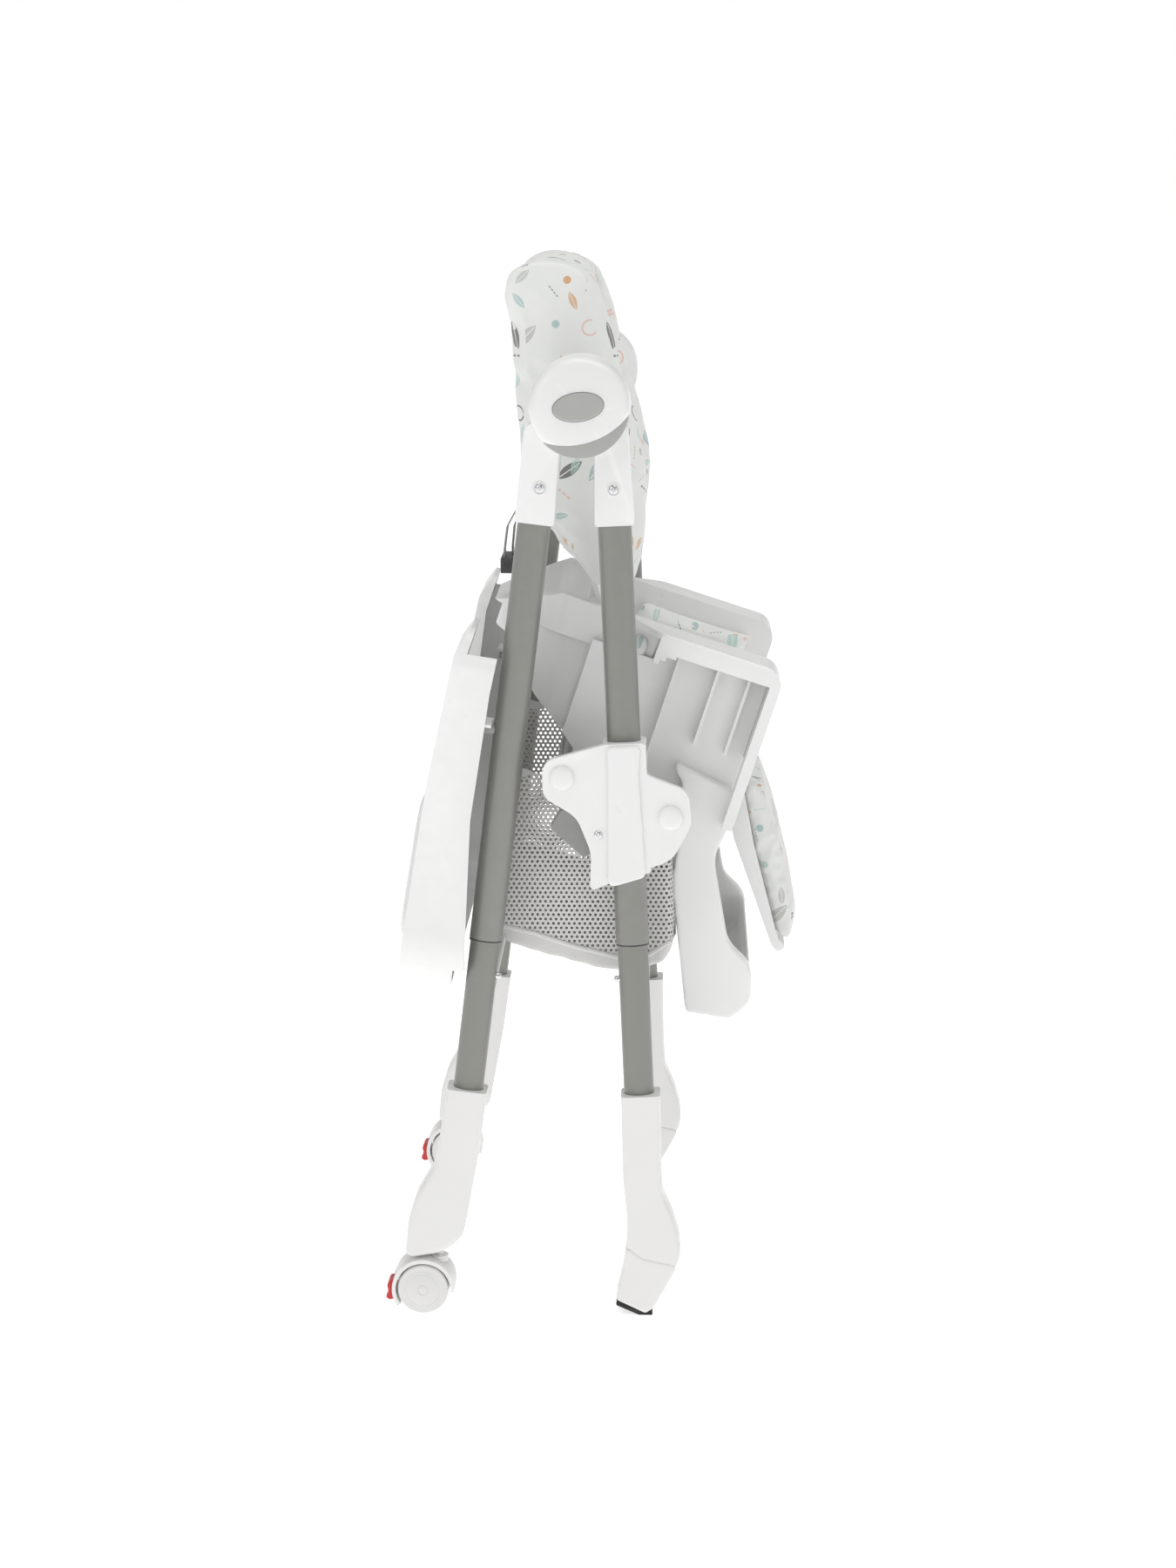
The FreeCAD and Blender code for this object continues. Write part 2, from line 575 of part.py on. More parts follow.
ARM_PLAN = ((68, -180, 15), (68, 180, 15), (-66, 180, 14), (-100, 136, 30), (-180, 134, 45), (-240, 52, 70),
            (-240, -52, 70), (-180, -134, 45), (-100, -136, 30), (-66, -180, 14))
BAND_PLAN = ((-62, -142, 3), (-62, 142, 3), (-180, 134, 45), (-240, 52, 70), (-240, -52, 70), (-180, -134, 45))
BELOW_TUB = ((-112, 0), (-112, 17), (-168, 54, 20), (-212, 98, 20), (-270, 98), (-270, 0))
ABOVE_BACK = ((-172, 170), (-172, 164.9, 20), (-238, 124), (-290, 92), (-290, 170))
RIB_STATIONS = (-128, -104, -70, -38, 4, 37)


def build_seat():
    """The moulded seat: tub, armrests, front edges, rear band and the ribs under the armrests."""
    floor, top, wall = size("tub_floor"), size("arm_top"), size("tub_wall")
    outer = padded("TubOutside", tub_plan(size("tub_half"), -228, 54), "[arm_top] - [tub_floor]",
                   SEAT * shift(z=floor), "XY_Plane")
    inner = padded("TubInside", tub_plan(size("tub_half") - wall, -228 + wall, 80), "[arm_top]",
                   SEAT * shift(z=floor + wall), "XY_Plane")
    below = padded("BelowTub", BELOW_TUB, "[tool_width]", SEAT, middle=True)
    below_inside = padded("BelowTubInside", BELOW_TUB, "[tool_width]", SEAT * shift(3, 0, 4.5), middle=True)
    tub = cut("Tub", cut("TubBlock", outer, below), cut("TubRoom", inner, below_inside))

    arms = padded("Arms", ARM_PLAN, "[arm_plate]", SEAT * shift(z=top - size("arm_plate")), "XY_Plane")
    well = padded("Well", tub_plan(size("tub_half") - wall, -228 + wall, 90), "[arm_top]",
                  SEAT * shift(z=60), "XY_Plane")
    band = padded("Band", BAND_PLAN, "40", SEAT * shift(z=top - 40), "XY_Plane")
    shell = [tub, cut("ArmPlate", arms, well), cut("RearBand", band, well)]
    half_arm = (size("arm_half") - size("tub_half")) / 2 + 2
    for side in SIDES.values():
        middle = side * (size("arm_half") - half_arm)
        shell.append(box("FrontEdge", 11, 2 * half_arm, 98, SEAT * shift(62.5, middle, 64)))
        shell.append(box("FrontLip", 11, 12, 170, SEAT * shift(62.5, side * 174, -8)))
        shell.append(box("ArmLip", 130, 3, 16, SEAT * shift(2, side * 178.5, 146)))
        shell.append(box("TubSide", 20, 4, 145, SEAT * shift(55, side * 122, 19)))
        for station in RIB_STATIONS:
            low = 62 if station > 0 else 24 if station > -100 else 40
            reach = 40 if station > -70 else 12
            rib_at = SEAT * shift(station, side * (size("tub_half") - 1 + reach / 2), low)
            shell.append(box("Rib", 3, reach, 159 - low, rib_at))
    whole = fused("SeatBody", *shell)
    above = padded("AboveBack", ABOVE_BACK, "[tool_width]", SEAT, middle=True)
    node(cut("SeatShell", whole, above), "seat_shell")


PAD_SECTION = ((-119, 22, 4), (119, 22, 4), (119, 150, 5), (104, 150, 5), (98, 50, 20), (-98, 50, 20),
               (-104, 150, 5), (-119, 150, 5))


def build_seat_pad():
    """The padded seat lining with its crotch strap and buckle."""
    lining = padded("Lining", PAD_SECTION, "172", SEAT * shift(x=-128), "YZ_Plane")
    behind = padded("BehindLining", ((-140, 60), (-140, 160), (-76, 160), (-120, 60)), "[tool_width]", SEAT, middle=True)
    under = padded("UnderLining", BELOW_TUB, "[tool_width]", SEAT * shift(4, 0, 6), middle=True)
    node(cut("SeatPad", lining, behind, under), "seat_pad")
    strap = box("CrotchStrap", 70, size("strap_width") + 4, 2, SEAT * shift(-12, 0, 50.4))
    node(strap, "crotch_strap")
    body = padded("Buckle", ((-88, 50.6, 2), (-48, 50.6, 2), (-48, 64, 5), (-88, 64, 5)), "42", SEAT, middle=True)
    node(body, "harness_buckle")


BASKET = ((-101, 583, 4), (-103, 522, 20), (-119, 468, 20), (-116, 424, 25), (-90, 390, 18), (30, 353, 25),
          (80, 370, 22), (84, 402, 20), (82, 522, 4))


def build_basket():
    """The mesh basket that hangs under the seat, open at the top."""
    wall = size("basket_wall")
    outside = padded("BasketOutside", BASKET, "2 * [basket_half]", at(), middle=True)
    inside_outline = ((-98, 640), (-100, 522, 17), (-116, 468, 17), (-113, 425.5, 22), (-88.5, 393, 15),
                      (30, 356.2, 22), (77.5, 372, 19), (81, 402, 17), (79, 640))
    inside = padded("BasketInside", inside_outline, "2 * [basket_half] - 6", at(), middle=True)
    node(cut("Basket", outside, inside), "basket")


# Backrest ---------------------------------------------------------------------------------------

SHELL_REAR = ((6, -8), (-4, 26), (-30, 60), (-48, 100), (-56, 180), (-63, 250), (-68, 318))
WING = ((-30, 60, 5), (-48, 100, 20), (-56, 180, 60), (-68, 322, 8), (-12, 322, 20), (24, 180, 40), (32, 90, 30),
        (28, 34, 10), (6, 27, 4), (-12, 44, 10))
PAD_OUTLINE = ((-86, 340, 8), (-58, 352, 30), (-24, 348, 14), (-4, 338, 8), (9, 288, 30), (42, 178, 40),
               (51, 140, 40), (51, 60, 30), (46, 18, 8), (10, 20, 6), (-39, 82, 6), (-66, 104, 8),
               (-68, 185, 60), (-76, 290, 60))
PAD_HOLLOW = ((-30, 330), (-20, 200), (-10, 130), (4, 0), (90, 0), (90, 330))


def band(line, thickness):
    """A closed outline that follows a line at a constant fore-and-aft thickness."""
    return tuple(line) + tuple((across + thickness, up) for across, up in reversed(line))


def build_backrest():
    """The reclining back: moulded shell with wings, padded cover, handle and straps."""
    half, wall, gap = size("shell_half"), size("shell_wall"), size("pad_gap")
    back = padded("Back", band(SHELL_REAR[2:], wall + 1), "2 * [shell_half]", RECLINE, middle=True)
    tongue = padded("Tongue", band(SHELL_REAR[:4], wall + 1), "208", RECLINE, middle=True)
    wings = [side_plate("Wing", WING, half - wall, "[shell_wall]", RECLINE, side) for side in SIDES.values()]
    barrel = cylinder("Barrel", "6", "208", RECLINE * shift(y=-104), 1)
    node(fused("BackShell", back, tongue, barrel, *wings), "backrest_shell")

    cover = padded("Cover", PAD_OUTLINE, "2 * [pad_half]", RECLINE, middle=True)
    hollow = padded("Hollow", PAD_HOLLOW, "2 * [pad_inner_half]", RECLINE, middle=True)
    back_room = padded("BackRoom", band(SHELL_REAR, wall + 1 + 2 * gap), "2 * [shell_half] + 1.2",
                       RECLINE * shift(-gap, 0, gap), middle=True)
    wing_rooms = []
    for side in SIDES.values():
        room = ((-90, -10), (-49, 99), (-57, 180), (-64, 250), (-69, 323), (-11, 323), (25, 181), (33.4, 90), (29, 10))
        wing_rooms.append(side_plate("WingRoom", room, half - wall - gap, "[shell_wall] + 2 * [pad_gap]",
                                     RECLINE, side))
    handle_room = box("HandleRoom", 66, 112, 74, RECLINE * shift(-90, 0, 196))
    node(cut("BackPad", cover, hollow, back_room, *wing_rooms, handle_room), "backrest_pad")

    grip = padded("Grip", ((-60.2, 212), (-64.1, 250), (-74, 250, 4), (-79, 212, 4)), "80", RECLINE, middle=True)
    node(grip, "recline_handle")


def strap_run(label, line, across):
    """A flat strap that follows a line in the side plane."""
    return padded(label, band(line, size("strap_thickness")), "[strap_width]",
                  RECLINE * shift(y=across), middle=True)


def build_straps():
    """The shoulder straps on the front of the back and the adjuster straps that hang behind it."""
    shoulder = ((6.5, 70), (-6, 130), (-16, 200), (-22, 250))
    pieces = [strap_run("Shoulder", shoulder, side * 45) for side in SIDES.values()]
    loops = (((-70.2, 112), (-80, 96), (-92, 74), (-95, 50), (-95, 42)),
             ((-70.2, 118), (-76, 96), (-86, 72), (-88, 50), (-88, 42)))
    pieces += [strap_run("Adjuster", loop, across) for loop, across in zip(loops, (-62, -36))]
    node(group("Straps", *pieces), "harness_straps")
    buckle = padded("AdjusterBuckle", ((-98, 26, 1), (-85, 26, 1), (-84, 41.8, 1), (-98, 41.8, 1)), "56",
                    RECLINE * shift(y=-49), middle=True)
    node(buckle, "strap_adjuster")


# Legrest, footrest and tray ---------------------------------------------------------------------

LEGREST_PANEL = ((-2, 6, 3), (7, 6, 3), (18, -52, 80), (44, -152), (53, -160, 3), (44, -168, 6), (37, -158, 20),
                 (-5, -39, 40))
LEGREST_PAD = ((8, 14, 4), (19, -52, 80), (45, -151), (55, -158, 4), (57.8, -128, 60), (36, -40, 60),
               (15, 18, 4))
FOOT_ARM = ((-20, 16, 3), (42, -15, 4), (39, -46, 20), (20, -84, 40), (36, -176, 30), (61, -200, 30),
            (60, -240, 22), (38, -257, 6), (-8, -250, 4), (-23, -110, 60), (-13.5, -46, 8), (-13.5, -4, 4),
            (-20, 6, 2))
FOOT_PLATE = ((-8, -250, 1), (38, -257, 6), (58, -238, 16), (60, -204, 3), (53, -204, 3), (51, -234, 12),
              (36, -248, 5), (-7, -242, 1))


def build_legrest():
    """The calf rest: a moulded panel with a pad on its front."""
    panel = padded("Panel", LEGREST_PANEL, "2 * [legrest_half]", LEGREST, middle=True)
    barrel = cylinder("Barrel", "[barrel_radius]", "2 * [legrest_half]", LEGREST * shift(y=-size("legrest_half")), 1)
    node(fused("LegrestBody", panel, barrel), "legrest_panel")
    node(padded("Pad", LEGREST_PAD, "2 * [legrest_half] - 2", LEGREST * shift(x=0.6), middle=True), "legrest_pad")


def build_footrest():
    """The U-shaped footrest: two arms and the plate between their feet."""
    arms = [side_plate("Arm", FOOT_ARM, size("footrest_inner"), "[footrest_arm]", FOOTREST, side)
            for side in SIDES.values()]
    plate = padded("Plate", FOOT_PLATE, "2 * [footrest_inner] + 4", FOOTREST, middle=True)
    studs = [cylinder("Stud", "[barrel_radius]", "12", FOOTREST * shift(y=side * (size("footrest_inner") - 11)), side)
             for side in SIDES.values()]
    node(fused("FootrestBody", *arms, plate, *studs), "footrest")


TRAY_SIDE = ((0, 0, 3), (-12, -24, 20), (-20, -160, 300), (-21, -352, 12), (-13, -376, 4), (34, -376, 2),
             (34, -350), (46, -350, 2), (29, -190, 80), (29, -60, 60), (32, -8, 6))


def tray_plan(margin):
    """The tray from above: rounded, with the belly cut-out at its top end."""
    half, length = size("tray_half") - margin, size("tray_length") - margin
    cut_half, cut_end = 130 + margin, -150 - margin
    return ((-half, -margin, 40), (-cut_half - 8, -margin, 24), (-cut_half, cut_end, 70),
            (cut_half, cut_end, 70), (cut_half + 8, -margin, 24), (half, -margin, 40),
            (half, -length, 60), (-half, -length, 60))


def build_tray():
    """The tray stored behind the rear legs, top side backwards, and its removable insert."""
    wall = size("tray_wall")
    profile = padded("TrayProfile", TRAY_SIDE, "2 * [tray_half]", TRAY, middle=True)
    plan = padded("TrayPlan", tray_plan(0.0), "90", TRAY * shift(x=-30), "YZ_Plane")
    block = common("TrayBlock", profile, plan)
    hollow_side = ((3.6, -6), (-8.4, -24, 16), (-16.4, -160, 300), (-17.4, -350, 12), (-13, -372), (80, -372),
                   (80, -6))
    hollow_profile = padded("HollowProfile", hollow_side, "2 * [tray_half]", TRAY, middle=True)
    hollow_plan = padded("HollowPlan", tray_plan(wall), "120", TRAY * shift(x=-30), "YZ_Plane")
    # Around the belly cut-out and across the arm ends the skirt is only a shallow lip.
    shallow = padded("Shallow", ((2, -186), (-2, -40), (4, -6), (6, 4), (90, 4), (90, -186)),
                     "2 * [tray_half] - 2 * [tray_wall]", TRAY, middle=True)
    ledges = []
    peg = REAR_LEG.multVec(Vector(-size("tube_depth") / 2 - 8, 0, -size("peg_drop") + size("peg_radius") + 0.4))
    local = TRAY.inverse().multVec(peg)
    for side in SIDES.values():
        ledges.append(box("Ledge", 20, 40, 3, TRAY * shift(local.x - 4, side * 222, local.z)))
    shell = cut("TrayShell", block, common("TrayRoom", hollow_profile, hollow_plan), shallow)
    node(fused("TrayBody", shell, *ledges), "tray")

    insert_plan = ((-200, -196, 40), (200, -196, 40), (200, -340, 40), (-200, -340, 40))
    insert_profile = ((-20.4, -160), (-21.5, -352), (-27.5, -352), (-26.4, -160))
    slab = common("InsertSlab", padded("InsertProfile", insert_profile, "460", TRAY, middle=True),
                  padded("InsertPlan", insert_plan, "60", TRAY * shift(x=-50), "YZ_Plane"))
    node(slab, "tray_insert")


# Build, check and write -------------------------------------------------------------------------

build_frame()
for castor_side, castor_sign in SIDES.items():
    build_castor(castor_side, castor_sign)
build_brackets()
build_seat()
build_seat_pad()
build_basket()
build_backrest()
build_straps()
build_legrest()
build_footrest()
build_tray()
document.recompute()

faults = [item.Label for item in document.Objects if {"Invalid", "Error"} & set(item.State)]
for feature in nodes:
    shape = feature.Shape
    if shape.isNull() or not shape.isValid() or not shape.Solids:
        faults.append(f"{feature.Label}: no valid solid")
if faults:
    raise RuntimeError("failed: " + ", ".join(faults))
for feature in nodes:
    feature.Shape.exportStep(f"parts/{feature.Label}.step")
    bounds = feature.Shape.BoundBox
    print(f"{feature.Label}: {len(feature.Shape.Solids)} solids, {feature.Shape.Volume / 1000:.1f} cm3, "
          f"x {bounds.XMin:.1f}..{bounds.XMax:.1f} y {bounds.YMin:.1f}..{bounds.YMax:.1f} "
          f"z {bounds.ZMin:.1f}..{bounds.ZMax:.1f}")
print(len(nodes), "nodes")
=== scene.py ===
"""The looks of a folding baby high chair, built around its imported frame."""
import json
import logging
import math
from dataclasses import dataclass, field
from enum import Enum
from typing import Callable, Sequence

import bpy
import numpy as np
from mathutils import Matrix, Vector

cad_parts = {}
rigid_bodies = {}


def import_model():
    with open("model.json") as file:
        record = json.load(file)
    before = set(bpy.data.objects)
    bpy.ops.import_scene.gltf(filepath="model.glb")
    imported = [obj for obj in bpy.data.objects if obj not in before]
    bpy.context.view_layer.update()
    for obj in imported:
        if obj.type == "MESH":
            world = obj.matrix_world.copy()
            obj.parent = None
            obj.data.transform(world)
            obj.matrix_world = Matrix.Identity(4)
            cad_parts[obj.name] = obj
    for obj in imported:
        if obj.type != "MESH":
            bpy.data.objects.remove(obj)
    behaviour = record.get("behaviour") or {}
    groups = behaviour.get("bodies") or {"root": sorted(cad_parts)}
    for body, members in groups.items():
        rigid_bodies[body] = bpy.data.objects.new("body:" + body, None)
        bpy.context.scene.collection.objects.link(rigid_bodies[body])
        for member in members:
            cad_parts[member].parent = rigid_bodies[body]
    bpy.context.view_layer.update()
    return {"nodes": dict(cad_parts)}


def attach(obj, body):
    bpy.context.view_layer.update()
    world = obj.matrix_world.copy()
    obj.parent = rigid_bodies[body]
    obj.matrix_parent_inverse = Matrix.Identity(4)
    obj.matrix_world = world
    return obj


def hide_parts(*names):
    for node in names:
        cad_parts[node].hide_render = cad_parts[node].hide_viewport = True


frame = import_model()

MM = 0.001
LOG = logging.getLogger("high_chair")

Point = tuple[float, float]
Colour = tuple[float, float, float]
Outline = tuple[tuple[float, ...], ...]
Piece = bpy.types.Object
Socket = bpy.types.NodeSocket


class Side(Enum):
    """The two sides of the chair, as the sign of Y."""

    RIGHT = -1
    LEFT = 1

    @property
    def word(self) -> str:
        """The side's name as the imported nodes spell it."""
        return self.name.lower()

    def span(self, near: float, far: float) -> Point:
        """The lower and the higher Y of a slab on this side, from its distances out from the middle."""
        low, high = sorted((self.value * near, self.value * far))
        return low, high


@dataclass(frozen=True)
class Leaning:
    """A drawing plane in the side view, with its origin in millimetres and its lean in degrees."""

    x: float
    z: float
    lean: float = 0.0

    def at(self, across: float, up: float) -> Point:
        """Turn a drawing point in millimetres into a place in metres.

        Args:
            across: distance along the leaning fore-and-aft direction.
            up: distance along the leaning upward direction.

        Returns:
            The X and Z of the point in the shared frame.
        """
        turn = math.radians(self.lean)
        return ((self.x + across * math.cos(turn) + up * math.sin(turn)) * MM,
                (self.z - across * math.sin(turn) + up * math.cos(turn)) * MM)

    def line(self, points: Sequence[Point]) -> list[Point]:
        """Turn a list of drawing points into places in metres.

        Args:
            points: (across, up) pairs in millimetres.

        Returns:
            (X, Z) pairs in metres.
        """
        return [self.at(*point[:2]) for point in points]

    @property
    def across(self) -> Vector:
        """The leaning fore-and-aft direction."""
        turn = math.radians(self.lean)
        return Vector((math.cos(turn), 0, -math.sin(turn)))

    @property
    def up(self) -> Vector:
        """The leaning upward direction."""
        turn = math.radians(self.lean)
        return Vector((math.sin(turn), 0, math.cos(turn)))


FLOOR = Leaning(0, 0)
HUB = Leaning(-5.5, 942)
FRONT_LEG = Leaning(22.5, 942, -2.56)
REAR_LEG = Leaning(-37.5, 942, 6.85)
SEAT = Leaning(85, 532, 18)


def rounded(corners: Sequence[tuple[float, ...]], steps: int = 5) -> list[Point]:
    """Round the corners of an outline.

    Args:
        corners: (across, up) or (across, up, radius) in millimetres.
        steps: how many pieces each rounded corner is cut into.

    Returns:
        The outline as plain points.
    """
    points: list[Point] = []
    count = len(corners)
    for index, corner in enumerate(corners):
        here = Vector(corner[:2])
        radius = corner[2] if len(corner) > 2 else 0.0
        if not radius:
            points.append(tuple(here))
            continue
        before = Vector(corners[index - 1][:2]) - here
        after = Vector(corners[(index + 1) % count][:2]) - here
        half = before.angle(after) / 2
        back = min(radius / math.tan(half), min(before.length, after.length) * 0.49)
        start, stop = here + before.normalized() * back, here + after.normalized() * back
        for step in range(steps + 1):
            part = step / steps
            points.append(tuple(start * (1 - part) ** 2 + here * 2 * part * (1 - part) + stop * part ** 2))
    return points


# The modelling bench ----------------------------------------------------------------------------

class Bench:
    """Blender's own modelling tools, wrapped so that each works on one piece."""

    @staticmethod
    def deselect() -> None:
        """Leave edit mode and select nothing."""
        if bpy.context.object and bpy.context.object.mode != "OBJECT":
            bpy.ops.object.mode_set(mode="OBJECT")
        bpy.ops.object.select_all(action="DESELECT")

    @staticmethod
    def pick(*pieces: Piece) -> None:
        """Select only the pieces given, the first one active."""
        Bench.deselect()
        for piece in pieces:
            piece.select_set(True)
        bpy.context.view_layer.objects.active = pieces[0]

    @staticmethod
    def edit(piece: Piece, mode: str = "VERT") -> None:
        """Open a piece in edit mode with all of it selected."""
        Bench.pick(piece)
        bpy.ops.object.mode_set(mode="EDIT")
        bpy.ops.mesh.select_mode(type=mode)
        bpy.ops.mesh.select_all(action="SELECT")

    @staticmethod
    def named(name: str) -> Piece:
        """Name the newest piece and its mesh."""
        piece = bpy.context.object
        piece.name = piece.data.name = name
        return piece

    @staticmethod
    def settle(piece: Piece) -> Piece:
        """Put a piece's place, turn and scale into its mesh."""
        Bench.pick(piece)
        bpy.ops.object.transform_apply(location=True, rotation=True, scale=True)
        return piece

    @staticmethod
    def modify(piece: Piece, kind: str, **settings: object) -> Piece:
        """Add one modifier and apply it.

        Args:
            piece: the piece to change.
            kind: Blender's name for the modifier.
            **settings: the modifier's own settings.

        Returns:
            The same piece.
        """
        Bench.pick(piece)
        modifier = piece.modifiers.new(kind.title(), kind)
        for key, value in settings.items():
            setattr(modifier, key, value)
        bpy.ops.object.modifier_apply(modifier=modifier.name)
        return piece

    @staticmethod
    def smooth(piece: Piece, angle: float = 35.0) -> Piece:
        """Shade a piece smooth across edges flatter than an angle in degrees."""
        Bench.pick(piece)
        bpy.ops.object.shade_smooth_by_angle(angle=math.radians(angle))
        return piece

    @staticmethod
    def soften(piece: Piece, width: float, segments: int = 3, angle: float = 32.0,
               clamp: bool = True) -> Piece:
        """Round the sharp edges of a moulding.

        Args:
            piece: the piece to change.
            width: how wide each rounding is, in millimetres.
            segments: faces across each rounding.
            angle: edges sharper than this many degrees are rounded.
            clamp: keep the roundings from meeting each other.

        Returns:
            The same piece, shaded smooth.
        """
        Bench.modify(piece, "BEVEL", width=width * MM, segments=segments, limit_method="ANGLE",
                     angle_limit=math.radians(angle), use_clamp_overlap=clamp, harden_normals=False)
        Bench.smooth(piece, 40)
        return Bench.modify(piece, "WEIGHTED_NORMAL", keep_sharp=True, weight=80)

    @staticmethod
    def plate(name: str, outline: Sequence[Point], low: float, high: float) -> Piece:
        """A flat plate whose outline lies in the side view.

        Args:
            name: the piece's name.
            outline: (X, Z) places in metres.
            low: the lower Y in millimetres.
            high: the higher Y in millimetres.

        Returns:
            The closed plate.
        """
        Bench.deselect()
        bpy.ops.mesh.primitive_circle_add(vertices=len(outline), radius=0.01, fill_type="NGON")
        piece = Bench.named(name)
        for vertex, (x, z) in zip(piece.data.vertices, outline):
            vertex.co = (x, low * MM, z)
        Bench.edit(piece)
        bpy.ops.mesh.extrude_region_move(TRANSFORM_OT_translate={"value": (0, (high - low) * MM, 0)})
        bpy.ops.mesh.select_all(action="SELECT")
        bpy.ops.mesh.normals_make_consistent(inside=False)
        bpy.ops.object.mode_set(mode="OBJECT")
        return piece

    @staticmethod
    def melted(piece: Piece, voxel: float, rounds: int) -> Piece:
        """Run a thick moulding's shapes into each other, with soft edges.

        Args:
            piece: the closed piece, or several that overlap.
            voxel: the spacing of the new mesh, in millimetres.
            rounds: how many times it is smoothed.

        Returns:
            The same piece, shaded smooth.
        """
        Bench.modify(piece, "REMESH", mode="VOXEL", voxel_size=voxel * MM)
        Bench.modify(piece, "SMOOTH", factor=0.5, iterations=rounds)
        Bench.pick(piece)
        bpy.ops.object.shade_smooth()
        return piece

    @staticmethod
    def trimmed(piece: Piece, place: Point, lean: float) -> Piece:
        """Cut a piece off square above a height.

        Args:
            piece: the piece to change.
            place: the X and Z of a point on the cut, in metres.
            lean: the lean of the upward direction, in degrees.

        Returns:
            The same piece, closed again.
        """
        Bench.edit(piece)
        bpy.ops.mesh.bisect(plane_co=(place[0], 0, place[1]), plane_no=Leaning(0, 0, lean).up, use_fill=True,
                            clear_outer=True)
        bpy.ops.object.mode_set(mode="OBJECT")
        return Bench.smooth(piece, 50)

    @staticmethod
    def round_edges(piece: Piece, width: float, segments: int,
                    choose: Callable[[Vector, Vector], bool]) -> Piece:
        """Round only the edges that a rule chooses.

        Args:
            piece: the piece to change.
            width: how wide the rounding is, in millimetres.
            segments: faces across it.
            choose: takes the two ends of an edge in millimetres.

        Returns:
            The same piece.
        """
        Bench.edit(piece, "EDGE")
        bpy.ops.mesh.select_all(action="DESELECT")
        bpy.ops.object.mode_set(mode="OBJECT")
        points = [vertex.co / MM for vertex in piece.data.vertices]
        for edge in piece.data.edges:
            edge.select = choose(*(points[index] for index in edge.vertices))
        bpy.ops.object.mode_set(mode="EDIT")
        bpy.ops.mesh.bevel(offset=width * MM, segments=segments, affect="EDGES", clamp_overlap=False)
        bpy.ops.object.mode_set(mode="OBJECT")
        return piece

    @staticmethod
    def wrinkled(piece: Piece, size: float, depth: float) -> Piece:
        """Push a cloth surface in and out in soft folds.

        Args:
            piece: the piece to change.
            size: how far apart the folds are, in millimetres.
            depth: how deep they are, in millimetres.

        Returns:
            The same piece.
        """
        folds = bpy.data.textures.new(f"{piece.name}_folds", "CLOUDS")
        folds.noise_scale, folds.noise_depth, folds.noise_basis = size * MM, 2, "ORIGINAL_PERLIN"
        return Bench.modify(piece, "DISPLACE", texture=folds, strength=depth * MM, mid_level=0.5,
                            texture_coords="LOCAL")

    @staticmethod
    def turned(name: str, profile: Sequence[Point], centre: Vector, axis: Vector,
               steps: int = 48) -> Piece:
        """A turned piece.

        Args:
            name: the piece's name.
            profile: (radius, along) pairs in millimetres, from one end of the axis to the other.
            centre: a point on the axis, in metres.
            axis: the direction of the axis.
            steps: faces around.

        Returns:
            The closed piece.
        """
        axis = axis.normalized()
        outward = axis.orthogonal().normalized()
        Bench.deselect()
        bpy.ops.mesh.primitive_circle_add(vertices=len(profile), radius=0.01)
        piece = Bench.named(name)
        for vertex, (radius, along) in zip(piece.data.vertices, profile):
            vertex.co = centre + outward * radius * MM + axis * along * MM
        last = len(profile) - 1
        Bench.edit(piece, "EDGE")
        bpy.ops.mesh.select_all(action="DESELECT")
        bpy.ops.object.mode_set(mode="OBJECT")
        for edge in piece.data.edges:
            edge.select = set(edge.vertices) == {0, last}
        bpy.ops.object.mode_set(mode="EDIT")
        bpy.ops.mesh.delete(type="EDGE")
        bpy.ops.mesh.select_all(action="SELECT")
        bpy.ops.mesh.spin(steps=steps, angle=math.tau, center=centre, axis=axis)
        bpy.ops.mesh.select_all(action="SELECT")
        bpy.ops.mesh.remove_doubles(threshold=2e-6)
        bpy.ops.mesh.normals_make_consistent(inside=False)
        bpy.ops.object.mode_set(mode="OBJECT")
        return Bench.smooth(piece, 32)

    @staticmethod
    def copy(piece: Piece, name: str) -> Piece:
        """Copy a piece with its own mesh."""
        twin = piece.copy()
        twin.data = piece.data.copy()
        bpy.context.scene.collection.objects.link(twin)
        twin.name = twin.data.name = name
        return twin

    @staticmethod
    def joined(name: str, *pieces: Piece) -> Piece:
        """Join loose pieces into one."""
        Bench.pick(*pieces)
        bpy.ops.object.join()
        return Bench.named(name)

    @staticmethod
    def carved(piece: Piece, *tools: Piece, keep: str = "DIFFERENCE") -> Piece:
        """Carve a piece with tools, which are then thrown away.

        Args:
            piece: the piece to change.
            *tools: closed pieces.
            keep: DIFFERENCE to take the tools away, INTERSECT to keep what they share.

        Returns:
            The same piece.
        """
        for tool in tools:
            Bench.modify(piece, "BOOLEAN", operation=keep, object=tool, solver="EXACT")
            bpy.data.objects.remove(tool)
        return piece

    @staticmethod
    def from_node(node: str, name: str) -> Piece:
        """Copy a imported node, merged and cleared of the seams between its triangles.

        Args:
            node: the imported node.
            name: the new piece's name.

        Returns:
            The copy, free of the node's body.
        """
        piece = Bench.copy(frame["nodes"][node], name)
        Bench.pick(piece)
        bpy.ops.object.parent_clear(type="CLEAR_KEEP_TRANSFORM")
        bpy.ops.mesh.customdata_custom_splitnormals_clear()
        piece.data.materials.clear()
        Bench.edit(piece)
        bpy.ops.mesh.remove_doubles(threshold=1e-6)
        bpy.ops.mesh.dissolve_limited(angle_limit=math.radians(0.8))
        bpy.ops.object.mode_set(mode="OBJECT")
        return piece

